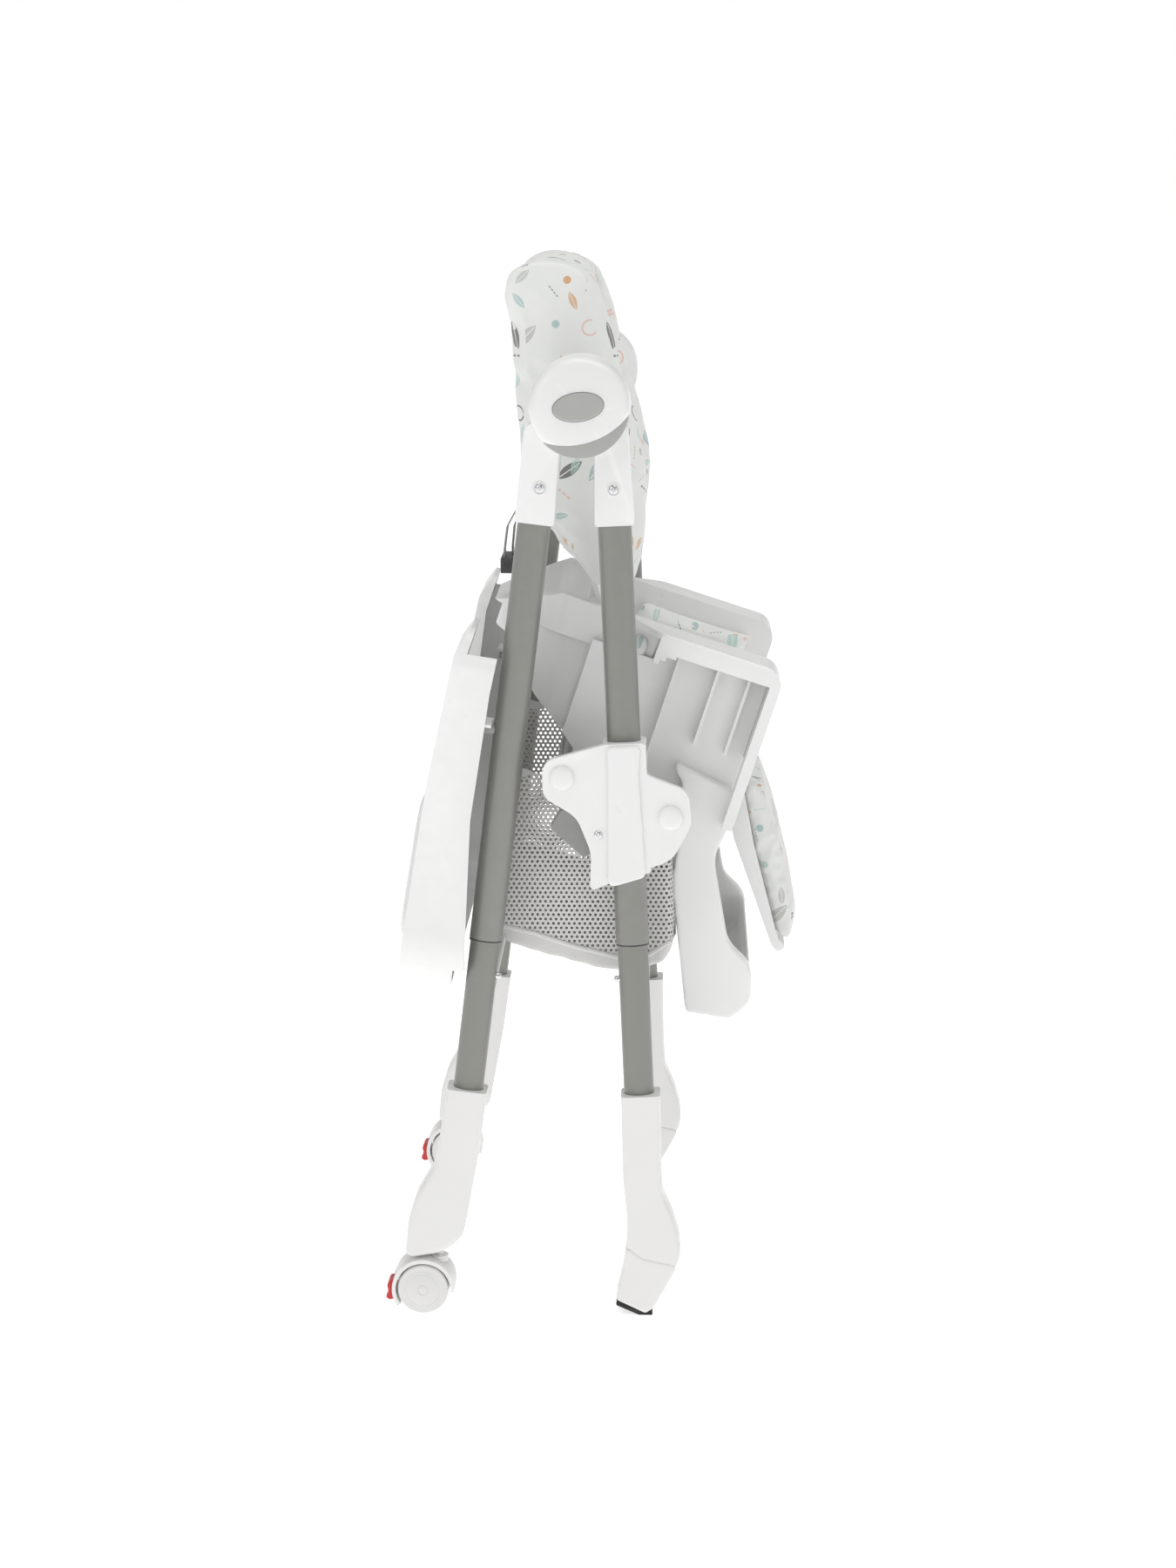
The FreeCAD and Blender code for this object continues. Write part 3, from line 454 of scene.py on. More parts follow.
    @staticmethod
    def flat_map(piece: Piece) -> Piece:
        """Lay a UV map in metres, each face seen along its main direction."""
        mesh = piece.data
        layer = mesh.uv_layers.get("Cloth") or mesh.uv_layers.new(name="Cloth")
        mesh.uv_layers.active = layer
        places = np.empty(len(mesh.vertices) * 3)
        mesh.vertices.foreach_get("co", places)
        places = places.reshape(-1, 3)
        corners = np.empty(len(mesh.loops), dtype=int)
        mesh.loops.foreach_get("vertex_index", corners)
        normals = np.empty(len(mesh.polygons) * 3)
        mesh.polygons.foreach_get("normal", normals)
        totals = np.empty(len(mesh.polygons), dtype=int)
        mesh.polygons.foreach_get("loop_total", totals)
        facing = np.repeat(np.argmax(np.abs(normals.reshape(-1, 3)) * (1, 1.25, 1), axis=1), totals)
        spots = places[corners]
        across = np.where(facing == 0, spots[:, 1], spots[:, 0])
        up = np.where(facing == 2, spots[:, 1], spots[:, 2])
        layer.data.foreach_set("uv", np.stack([across, up], axis=1).ravel())
        return piece

    @staticmethod
    def swollen(piece: Piece, voxel: float, cap: float, pressure: float = 4.0) -> Piece:
        """Fill a sewn cover as cloth under pressure.

        Args:
            piece: the closed cover.
            voxel: the spacing of the cloth mesh, in millimetres.
            cap: the furthest that a point may move, in millimetres.
            pressure: how hard the filling pushes.

        Returns:
            The same piece, swollen and subdivided once.
        """
        Bench.modify(piece, "REMESH", mode="VOXEL", voxel_size=voxel * MM)
        Bench.modify(piece, "SMOOTH", factor=0.5, iterations=3)
        count = len(piece.data.vertices)
        before = np.empty(count * 3)
        piece.data.vertices.foreach_get("co", before)
        Bench.pick(piece)
        cloth = piece.modifiers.new("Filling", "CLOTH")
        cloth.settings.quality = 4
        cloth.settings.mass = 0.3
        cloth.settings.tension_stiffness = 12
        cloth.settings.compression_stiffness = 6
        cloth.settings.bending_stiffness = 0.4
        cloth.settings.use_pressure = True
        cloth.settings.uniform_pressure_force = pressure
        cloth.settings.effector_weights.gravity = 0
        cloth.collision_settings.use_collision = False
        cloth.point_cache.frame_start, cloth.point_cache.frame_end = 1, 20
        for moment in range(1, 21):
            bpy.context.scene.frame_set(moment)
        bpy.ops.object.modifier_apply(modifier=cloth.name)
        bpy.context.scene.frame_set(1)
        after = np.empty(count * 3)
        piece.data.vertices.foreach_get("co", after)
        move = (after - before).reshape(-1, 3)
        length = np.linalg.norm(move, axis=1, keepdims=True)
        scale = np.minimum(1.0, cap * MM / np.maximum(length, 1e-9))
        piece.data.vertices.foreach_set("co", (before.reshape(-1, 3) + move * scale).ravel())
        Bench.modify(piece, "SMOOTH", factor=0.5, iterations=2)
        Bench.modify(piece, "SUBSURF", levels=1, render_levels=1)
        Bench.pick(piece)
        bpy.ops.object.shade_smooth()
        return piece

    @staticmethod
    def piping(name: str, path: Sequence[Vector], radius: float, closed: bool = False) -> Piece:
        """A thin round binding along a path.

        Args:
            name: the piece's name.
            path: places in metres.
            radius: the binding's radius in millimetres.
            closed: whether the path returns to its start.

        Returns:
            The binding as a mesh.
        """
        curve = bpy.data.curves.new(name, "CURVE")
        curve.dimensions = "3D"
        curve.bevel_depth = radius * MM
        curve.bevel_resolution = 3
        curve.use_fill_caps = True
        spline = curve.splines.new("POLY")
        spline.points.add(len(path) - 1)
        for point, place in zip(spline.points, path):
            point.co = (*place, 1)
        spline.use_cyclic_u = closed
        piece = bpy.data.objects.new(name, curve)
        bpy.context.scene.collection.objects.link(piece)
        Bench.pick(piece)
        bpy.ops.object.convert(target="MESH")
        return Bench.smooth(Bench.named(name), 50)


# Shader building --------------------------------------------------------------------------------

class Nodes:
    """Adds shader nodes to one tree."""

    def __init__(self, tree: bpy.types.NodeTree) -> None:
        """Start on an empty tree.

        Args:
            tree: a material's or a group's node tree.
        """
        self.tree = tree
        tree.nodes.clear()

    def add(self, kind: str, inputs: dict | None = None, **settings: object) -> bpy.types.Node:
        """Add a node and fill its sockets.

        Args:
            kind: the node's Blender type.
            inputs: values or output sockets, by socket name or number.
            **settings: the node's own settings.

        Returns:
            The new node.
        """
        node = self.tree.nodes.new(kind)
        for key, value in settings.items():
            setattr(node, key, value)
        for key, value in (inputs or {}).items():
            if isinstance(value, Socket):
                self.tree.links.new(value, node.inputs[key])
            else:
                node.inputs[key].default_value = value
        return node

    def link(self, value: Socket, socket: Socket) -> None:
        """Lead one socket into another."""
        self.tree.links.new(value, socket)

    def math(self, operation: str, *values: object) -> Socket:
        """A maths step, given by Blender's name for it."""
        return self.add("ShaderNodeMath", dict(enumerate(values)), operation=operation).outputs[0]

    def blend(self, factor: object, first: object, second: object) -> Socket:
        """A mix of two colours.

        Args:
            factor: how much of the second colour.
            first: a colour or a socket.
            second: a colour or a socket.

        Returns:
            The mixed colour.
        """
        colours = [value if isinstance(value, Socket) else (*value, 1) for value in (first, second)]
        mix = self.add("ShaderNodeMix", {0: factor, 6: colours[0], 7: colours[1]}, data_type="RGBA")
        return mix.outputs[2]


class Effect:
    """Node groups that several finishes share, each built once."""

    @staticmethod
    def tree(name: str, inputs: dict[str, float], outputs: dict[str, str]) -> tuple[Nodes, object, object]:
        """Start a group.

        Args:
            name: the group's name.
            inputs: number inputs with their usual values.
            outputs: output names with Blender's socket types.

        Returns:
            The node builder, the group's input node and its output node.
        """
        group = bpy.data.node_groups.new(name, "ShaderNodeTree")
        for key, value in inputs.items():
            socket = group.interface.new_socket(key, in_out="INPUT", socket_type="NodeSocketFloat")
            socket.default_value = value
        for key, kind in outputs.items():
            group.interface.new_socket(key, in_out="OUTPUT", socket_type=kind)
        nodes = Nodes(group)
        return nodes, nodes.add("NodeGroupInput"), nodes.add("NodeGroupOutput")

    @staticmethod
    def grain() -> bpy.types.NodeTree:
        """Fine moulded grain with slow changes of tone.

        Returns:
            The group: Pitch in; Height and Tone out.
        """
        if group := bpy.data.node_groups.get("Grain"):
            return group
        nodes, into, out = Effect.tree("Grain", {"Pitch": 900.0},
                                       {"Height": "NodeSocketFloat", "Tone": "NodeSocketFloat"})
        place = nodes.add("ShaderNodeTexCoord").outputs["Object"]
        fine = nodes.add("ShaderNodeTexNoise",
                         {"Vector": place, "Scale": into.outputs["Pitch"], "Detail": 2.0})
        slow = nodes.add("ShaderNodeTexNoise", {"Vector": place, "Scale": 9.0, "Detail": 4.0})
        nodes.link(fine.outputs[0], out.inputs["Height"])
        nodes.link(slow.outputs[0], out.inputs["Tone"])
        return nodes.tree

    @staticmethod
    def edge_wear() -> bpy.types.NodeTree:
        """Wear that follows the edges of a piece.

        Returns:
            The group: Reach in; Mask out.
        """
        if group := bpy.data.node_groups.get("EdgeWear"):
            return group
        nodes, into, out = Effect.tree("EdgeWear", {"Reach": 0.06}, {"Mask": "NodeSocketFloat"})
        edge = nodes.add("ShaderNodeNewGeometry").outputs["Pointiness"]
        raised = nodes.math("SUBTRACT", edge, 0.51)
        level = nodes.math("DIVIDE", raised, into.outputs["Reach"])
        place = nodes.add("ShaderNodeTexCoord").outputs["Object"]
        patches = nodes.add("ShaderNodeTexNoise", {"Vector": place, "Scale": 60.0, "Detail": 3.0}).outputs[0]
        broken = nodes.math("MULTIPLY", level, patches)
        held = nodes.add("ShaderNodeClamp", {0: broken}).outputs[0]
        nodes.link(held, out.inputs["Mask"])
        return nodes.tree

    @staticmethod
    def dust() -> bpy.types.NodeTree:
        """A thin uneven film on faces that look up.

        Returns:
            The group: Amount in; Mask out.
        """
        if group := bpy.data.node_groups.get("Dust"):
            return group
        nodes, into, out = Effect.tree("Dust", {"Amount": 0.3}, {"Mask": "NodeSocketFloat"})
        normal = nodes.add("ShaderNodeNewGeometry").outputs["Normal"]
        upward = nodes.add("ShaderNodeSeparateXYZ", {0: normal}).outputs[2]
        place = nodes.add("ShaderNodeTexCoord").outputs["Object"]
        patches = nodes.add("ShaderNodeTexNoise", {"Vector": place, "Scale": 35.0, "Detail": 6.0}).outputs[0]
        lying = nodes.math("MULTIPLY", nodes.math("MAXIMUM", upward, 0.0), patches)
        nodes.link(nodes.math("MULTIPLY", lying, into.outputs["Amount"]), out.inputs["Mask"])
        return nodes.tree

    @staticmethod
    def weave() -> bpy.types.NodeTree:
        """Crossing threads on a piece's own cloth map.

        Returns:
            The group: Thread (metres) in; Height and Tone out.
        """
        if group := bpy.data.node_groups.get("Weave"):
            return group
        nodes, into, out = Effect.tree("Weave", {"Thread": 0.0006},
                                       {"Height": "NodeSocketFloat", "Tone": "NodeSocketFloat"})
        cloth = nodes.add("ShaderNodeUVMap", uv_map="Cloth").outputs[0]
        axes = nodes.add("ShaderNodeSeparateXYZ", {0: cloth}).outputs
        threads = [nodes.math("DIVIDE", axes[number], into.outputs["Thread"]) for number in (0, 1)]
        turns = [nodes.math("MULTIPLY", thread, math.pi) for thread in threads]
        across, along = (nodes.math("SINE", turn) for turn in turns)
        product = nodes.math("MULTIPLY", across, along)
        slow = nodes.add("ShaderNodeTexNoise", {"Vector": nodes.add("ShaderNodeTexCoord").outputs["Object"],
                                                "Scale": 22.0, "Detail": 4.0})
        nodes.link(nodes.math("ABSOLUTE", product), out.inputs["Height"])
        nodes.link(slow.outputs[0], out.inputs["Tone"])
        return nodes.tree

    @staticmethod
    def motifs() -> bpy.types.NodeTree:
        """Small plain motifs scattered one to a cell: leaves, rings, dots and dashes.

        Returns:
            The group: Cells per metre, Weight and Shift in; Mask and Pick out.
        """
        if group := bpy.data.node_groups.get("Motifs"):
            return group
        nodes, into, out = Effect.tree("Motifs", {"Cells": 25.0, "Weight": 1.0, "Shift": 0.0},
                                       {"Mask": "NodeSocketFloat", "Pick": "NodeSocketFloat"})
        cloth = nodes.add("ShaderNodeUVMap", uv_map="Cloth").outputs[0]
        moved = nodes.add("ShaderNodeVectorMath", {0: cloth, 1: into.outputs["Shift"]}, operation="ADD")
        spread = nodes.add("ShaderNodeVectorMath",
                           {0: moved.outputs[0], "Scale": into.outputs["Cells"]}, operation="SCALE")
        cells = nodes.add("ShaderNodeTexVoronoi",
                          {"Vector": spread.outputs[0], "Scale": 1.0, "Randomness": 0.62},
                          voronoi_dimensions="2D")
        local = nodes.add("ShaderNodeVectorMath", {0: spread.outputs[0], 1: cells.outputs["Position"]},
                          operation="SUBTRACT").outputs[0]
        chance = nodes.add("ShaderNodeSeparateColor", {0: cells.outputs["Color"]})
        angle = nodes.math("MULTIPLY", chance.outputs[0], math.tau)
        turned = nodes.add("ShaderNodeVectorRotate", {"Vector": local, "Angle": angle},
                           rotation_type="Z_AXIS")
        spot = nodes.add("ShaderNodeSeparateXYZ", {0: turned.outputs[0]})
        x, y = nodes.math("ABSOLUTE", spot.outputs[0]), nodes.math("ABSOLUTE", spot.outputs[1])
        far = nodes.add("ShaderNodeVectorMath", {0: local}, operation="LENGTH").outputs["Value"]
        weight = into.outputs["Weight"]

        def below(value: object, limit: float) -> Socket:
            """One where a value is under a limit."""
            return nodes.math("LESS_THAN", value, limit)

        along = nodes.math("DIVIDE", x, 0.36)
        taper = nodes.math("SUBTRACT", 1.0, nodes.math("MULTIPLY", along, along))
        width = nodes.math("MULTIPLY", taper, 0.13)
        inside = nodes.math("MULTIPLY", nodes.math("LESS_THAN", y, width), below(x, 0.36))
        vein = nodes.math("MULTIPLY", below(y, 0.012), below(x, 0.3))
        leaf = nodes.math("SUBTRACT", inside, vein)
        ring = below(nodes.math("ABSOLUTE", nodes.math("SUBTRACT", far, 0.17)), 0.02)
        dot = below(far, 0.09)
        beads = nodes.math("PINGPONG", spot.outputs[0], 0.07)
        dash = nodes.math("MULTIPLY", nodes.math("MULTIPLY", below(y, 0.022), below(x, 0.3)),
                          nodes.math("GREATER_THAN", beads, 0.022))
        kind = chance.outputs[1]
        steps = [nodes.math("GREATER_THAN", kind, level) for level in (0.3, 0.48, 0.7)]
        first = nodes.add("ShaderNodeMix", {0: steps[0], 2: leaf, 3: ring}).outputs[0]
        second = nodes.add("ShaderNodeMix", {0: steps[1], 2: first, 3: dot}).outputs[0]
        third = nodes.add("ShaderNodeMix", {0: steps[2], 2: second, 3: dash}).outputs[0]
        nodes.link(nodes.math("MULTIPLY", third, weight), out.inputs["Mask"])
        nodes.link(chance.outputs[2], out.inputs["Pick"])
        return nodes.tree


class Finish:
    """A finish that pieces can be dressed in; its material is built on first use."""

    label: str

    def material(self) -> bpy.types.Material:
        """The finish's material."""
        known = bpy.data.materials.get(self.label)
        if known:
            return known
        known = bpy.data.materials.new(self.label)
        known.use_nodes = True
        nodes = Nodes(known.node_tree)
        shader = nodes.add("ShaderNodeBsdfPrincipled")
        nodes.add("ShaderNodeOutputMaterial", {0: shader.outputs[0]})
        self.paint(nodes, shader)
        return known

    def paint(self, nodes: Nodes, shader: bpy.types.Node) -> None:
        """Fill in the shader's sockets."""
        raise NotImplementedError

    @staticmethod
    def group(nodes: Nodes, tree: bpy.types.NodeTree, inputs: dict[str, float]) -> bpy.types.Node:
        """Place a shared group.

        Args:
            nodes: the material's node builder.
            tree: the group.
            inputs: its values in this finish.

        Returns:
            The group node.
        """
        node = nodes.tree.nodes.new("ShaderNodeGroup")
        node.node_tree = tree
        for key, value in inputs.items():
            node.inputs[key].default_value = value
        return node

    @staticmethod
    def raise_surface(nodes: Nodes, shader: bpy.types.Node, height: object, distance: float,
                      strength: float = 1.0) -> None:
        """Drive the shader's normal from a height.

        Args:
            nodes: the material's node builder.
            shader: the Principled node.
            height: the height socket.
            distance: the depth of the relief, in metres.
            strength: how strongly it shows.
        """
        bump = nodes.add("ShaderNodeBump", {"Height": height, "Distance": distance, "Strength": strength})
        nodes.link(bump.outputs[0], shader.inputs["Normal"])


@dataclass(frozen=True)
class Moulded(Finish):
    """Moulded plastic or rubber with a fine grain, rubbed edges and a little dust."""

    label: str
    colour: Colour
    worn: Colour
    roughness: float
    grain_pitch: float = 1100.0
    grain_depth: float = 0.00003
    coat: float = 0.0
    specular: float = 0.5
    dusty: float = 0.12
    subsurface: float = 0.0

    def paint(self, nodes: Nodes, shader: bpy.types.Node) -> None:
        """Fill in the shader's sockets."""
        grain = self.group(nodes, Effect.grain(), {"Pitch": self.grain_pitch})
        wear = self.group(nodes, Effect.edge_wear(), {"Reach": 0.07})
        dust = self.group(nodes, Effect.dust(), {"Amount": self.dusty})
        darker = tuple(0.955 * part for part in self.colour)
        tone = nodes.blend(grain.outputs["Tone"], self.colour, darker)
        edged = nodes.blend(wear.outputs["Mask"], tone, self.worn)
        dusted = nodes.blend(dust.outputs["Mask"], edged, (0.72, 0.71, 0.68))
        nodes.link(dusted, shader.inputs["Base Color"])
        spread = nodes.math("MULTIPLY_ADD", grain.outputs["Tone"], 0.16, self.roughness - 0.08)
        nodes.link(nodes.math("ADD", spread, dust.outputs["Mask"]), shader.inputs["Roughness"])
        shader.inputs["Coat Weight"].default_value = self.coat
        shader.inputs["Coat Roughness"].default_value = 0.12
        shader.inputs["Specular IOR Level"].default_value = self.specular
        shader.inputs["Subsurface Weight"].default_value = self.subsurface
        shader.inputs["Subsurface Radius"].default_value = (0.004, 0.004, 0.004)
        self.raise_surface(nodes, shader, grain.outputs["Height"], self.grain_depth)


@dataclass(frozen=True)
class PaintedTube(Finish):
    """Satin paint on steel tube, with fine flake and a light orange peel."""

    label: str
    colour: Colour
    roughness: float

    def paint(self, nodes: Nodes, shader: bpy.types.Node) -> None:
        """Fill in the shader's sockets."""
        grain = self.group(nodes, Effect.grain(), {"Pitch": 420.0})
        wear = self.group(nodes, Effect.edge_wear(), {"Reach": 0.9})
        lighter = tuple(min(1.0, 1.03 * part) for part in self.colour)
        tone = nodes.blend(grain.outputs["Tone"], self.colour, lighter)
        worn = nodes.blend(wear.outputs["Mask"], tone, (0.45, 0.45, 0.44))
        nodes.link(worn, shader.inputs["Base Color"])
        spread = nodes.math("MULTIPLY_ADD", grain.outputs["Tone"], 0.05, self.roughness - 0.03)
        nodes.link(spread, shader.inputs["Roughness"])
        shader.inputs["Metallic"].default_value = 0.3
        shader.inputs["Coat Weight"].default_value = 0.25
        shader.inputs["Coat Roughness"].default_value = 0.25
        self.raise_surface(nodes, shader, grain.outputs["Height"], 0.000006)


@dataclass(frozen=True)
class Plated(Finish):
    """Bright plated steel with faint handling marks."""

    label: str
    colour: Colour = (0.72, 0.72, 0.73)

    def paint(self, nodes: Nodes, shader: bpy.types.Node) -> None:
        """Fill in the shader's sockets."""
        grain = self.group(nodes, Effect.grain(), {"Pitch": 300.0})
        nodes.link(nodes.blend(grain.outputs["Tone"], self.colour, (0.6, 0.6, 0.62)),
                             shader.inputs["Base Color"])
        nodes.link(nodes.math("MULTIPLY_ADD", grain.outputs["Tone"], 0.15, 0.1), shader.inputs["Roughness"])
        shader.inputs["Metallic"].default_value = 1.0
        self.raise_surface(nodes, shader, grain.outputs["Height"], 0.00001)


@dataclass(frozen=True)
class PrintedCloth(Finish):
    """Pale wipe-clean cloth with small motifs in soft colours."""

    label: str
    ground: Colour = (0.8, 0.81, 0.785)

    def paint(self, nodes: Nodes, shader: bpy.types.Node) -> None:
        """Fill in the shader's sockets."""
        weave = self.group(nodes, Effect.weave(), {"Thread": 0.0007})
        colour = nodes.blend(weave.outputs["Tone"], self.ground, tuple(0.94 * part for part in self.ground))
        for cells, weight, shift in ((23.0, 0.85, 0.0), (37.0, 0.75, 0.37)):
            layer = self.group(nodes, Effect.motifs(), {"Cells": cells, "Weight": weight, "Shift": shift})
            inks = nodes.add("ShaderNodeValToRGB", {0: layer.outputs["Pick"]})
            inks.color_ramp.interpolation = "CONSTANT"
            palette = ((0.0, (0.45, 0.62, 0.57)), (0.2, (0.62, 0.33, 0.12)), (0.36, (0.5, 0.5, 0.48)),
                       (0.56, (0.1, 0.1, 0.1)), (0.74, (0.75, 0.5, 0.44)), (0.88, (0.36, 0.5, 0.5)))
            for index, (position, ink) in enumerate(palette):
                if index < 2:
                    stop = inks.color_ramp.elements[index]
                    stop.position = position
                else:
                    stop = inks.color_ramp.elements.new(position)
                stop.color = (*ink, 1)
            colour = nodes.blend(layer.outputs["Mask"], colour, inks.outputs[0])
        nodes.link(colour, shader.inputs["Base Color"])
        nodes.link(nodes.math("MULTIPLY_ADD", weave.outputs["Tone"], 0.2, 0.45), shader.inputs["Roughness"])
        shader.inputs["Sheen Weight"].default_value = 0.15
        shader.inputs["Sheen Roughness"].default_value = 0.4
        self.raise_surface(nodes, shader, weave.outputs["Height"], 0.00006)


@dataclass(frozen=True)
class WovenCloth(Finish):
    """Plain woven cloth or webbing."""

    label: str
    colour: Colour
    thread: float = 0.0009
    depth: float = 0.00012
    roughness: float = 0.75

    def paint(self, nodes: Nodes, shader: bpy.types.Node) -> None:
        """Fill in the shader's sockets."""
        weave = self.group(nodes, Effect.weave(), {"Thread": self.thread})
        shade = tuple(0.82 * part for part in self.colour)
        lit = nodes.blend(weave.outputs["Height"], shade, self.colour)
        nodes.link(nodes.blend(weave.outputs["Tone"], lit, self.colour), shader.inputs["Base Color"])
        nodes.link(nodes.math("MULTIPLY_ADD", weave.outputs["Tone"], 0.2, self.roughness - 0.1),
                             shader.inputs["Roughness"])
        shader.inputs["Sheen Weight"].default_value = 0.25
        self.raise_surface(nodes, shader, weave.outputs["Height"], self.depth)


@dataclass(frozen=True)
class OpenMesh(Finish):
    """Knitted mesh with a hole at every stitch, on the piece's own cloth map."""

    label: str
    colour: Colour = (0.7, 0.69, 0.67)
    pitch: float = 0.0054
    hole: float = 0.0015

    def paint(self, nodes: Nodes, shader: bpy.types.Node) -> None:
        """Fill in the shader's sockets."""
        cloth = nodes.add("ShaderNodeUVMap", uv_map="Cloth").outputs[0]
        reach = (self.pitch / 2, self.pitch * 0.866, 1.0)
        distances = []
        for step in ((0.0, 0.0, 0.0), (reach[0], reach[1], 0.0)):
            moved = nodes.add("ShaderNodeVectorMath", {0: cloth, 1: step}, operation="ADD").outputs[0]
            cell = nodes.add("ShaderNodeVectorMath", {0: moved, 1: reach, 2: tuple(-part for part in reach)},
                             operation="WRAP").outputs[0]
            flat = nodes.add("ShaderNodeVectorMath", {0: cell, 1: (1.0, 1.0, 0.0)}, operation="MULTIPLY")
            length = nodes.add("ShaderNodeVectorMath", {0: flat.outputs[0]}, operation="LENGTH")
            distances.append(length.outputs["Value"])
        nearest = nodes.math("MINIMUM", *distances)
        thread = nodes.math("GREATER_THAN", nearest, self.hole)
        weave = self.group(nodes, Effect.weave(), {"Thread": 0.0005})
        shade = tuple(0.8 * part for part in self.colour)
        nodes.link(nodes.blend(weave.outputs["Height"], self.colour, shade), shader.inputs["Base Color"])
        nodes.link(thread, shader.inputs["Alpha"])
        nodes.link(nodes.math("MULTIPLY_ADD", weave.outputs["Tone"], 0.1, 0.65), shader.inputs["Roughness"])
        rise = nodes.math("MINIMUM", nodes.math("DIVIDE", nearest, self.pitch * 0.6), 1.0)
        self.raise_surface(nodes, shader, rise, 0.0003)


WHITE = Moulded("WhitePlastic", (0.83, 0.83, 0.825), (0.87, 0.87, 0.865), 0.3, coat=0.15, subsurface=0.05)
WARM_WHITE = Moulded("WarmWhitePlastic", (0.8, 0.795, 0.78), (0.85, 0.845, 0.83), 0.38, coat=0.08,
                     subsurface=0.05)
WHEEL_WHITE = Moulded("WheelPlastic", (0.74, 0.735, 0.72), (0.8, 0.8, 0.79), 0.34, dusty=0.2)
GREY = Moulded("GreyPlastic", (0.4, 0.4, 0.385), (0.5, 0.5, 0.49), 0.42, grain_depth=0.00006)
MID_GREY = Moulded("TriggerPlastic", (0.26, 0.26, 0.25), (0.36, 0.36, 0.35), 0.45, grain_depth=0.00006)
RED = Moulded("RedPlastic", (0.55, 0.012, 0.018), (0.65, 0.1, 0.1), 0.3, coat=0.2)
BLACK = Moulded("BlackPlastic", (0.018, 0.018, 0.02), (0.06, 0.06, 0.06), 0.4)
RUBBER = Moulded("DarkRubber", (0.022, 0.022, 0.022), (0.05, 0.05, 0.05), 0.75, grain_pitch=600.0,
                 grain_depth=0.0001, specular=0.3)
TUBE = PaintedTube("FrameGrey", (0.235, 0.235, 0.215), 0.42)
STEEL = Plated("BrightSteel")
PRINT = PrintedCloth("PrintedCloth")
WEBBING = WovenCloth("Webbing", (0.3, 0.3, 0.3), 0.0016, 0.0003)
LINING = WovenCloth("PaleCloth", (0.72, 0.715, 0.7))
BINDING = WovenCloth("Binding", (0.78, 0.775, 0.76), 0.0012, 0.0002)
MESH = OpenMesh("BasketMesh")


def dress(piece: Piece, finish: Finish, body: str, slot: str, *nodes: str) -> Piece:
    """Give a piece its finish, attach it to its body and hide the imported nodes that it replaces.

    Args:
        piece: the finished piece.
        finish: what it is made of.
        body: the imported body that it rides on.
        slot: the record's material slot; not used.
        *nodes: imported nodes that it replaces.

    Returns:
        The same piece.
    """
    if not piece.data.materials:
        piece.data.materials.append(finish.material())
    Bench.settle(piece)
    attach(piece, body)
    if nodes:
        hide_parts(*nodes)
    LOG.info("%s on %s, %d faces", piece.name, body, len(piece.data.polygons))
    return piece


def keep_node(node: str, finish: Finish) -> None:
    """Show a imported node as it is, in a finish.

    Args:
        node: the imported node.
        finish: what it is made of.
    """
    piece = frame["nodes"][node]
    for slot in piece.material_slots:
        slot.material = finish.material()
    if not piece.material_slots:
        piece.data.materials.append(finish.material())
    LOG.info("%s kept from the frame", node)


def moulding(node: str, body: str, finish: Finish, slot: str, edge: float, name: str) -> Piece:
    """A packed moulding with its edges rounded.

    Args:
        node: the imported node.
        body: the body that it rides on.
        finish: what it is made of.
        slot: the record's material slot.
        edge: the edge rounding in millimetres.
        name: the piece's name.

    Returns:
        The piece, which replaces the node.
    """
    piece = Bench.soften(Bench.from_node(node, name), edge)
    return dress(piece, finish, body, slot, node)


def screw_head(name: str, centre: Vector, outward: Vector, radius: float = 4.4) -> Piece:
    """A pan-head screw with a cross recess.

    Args:
        name: the piece's name.
        centre: the middle of its seat, in metres.
        outward: the way that it faces.
        radius: its head's radius in millimetres.

    Returns:
        The screw head.
    """
    profile = ((0, 0), (radius, 0), (radius, 0.9), (radius * 0.8, 1.8), (radius * 0.45, 2.3), (0, 2.45))
    head = Bench.turned(name, profile, centre, outward, 28)
    for length, width in ((radius * 1.15, radius * 0.3), (radius * 0.3, radius * 1.15)):
        Bench.deselect()
        bpy.ops.mesh.primitive_cube_add(size=1, location=centre + outward * 2.4 * MM)
        slot = Bench.named("SlotTool")
        slot.scale = (length * MM, 2.6 * MM, width * MM)
        Bench.settle(slot)
        Bench.carved(head, slot)
    return Bench.smooth(head, 30)


# Legs -------------------------------------------------------------------------------------------

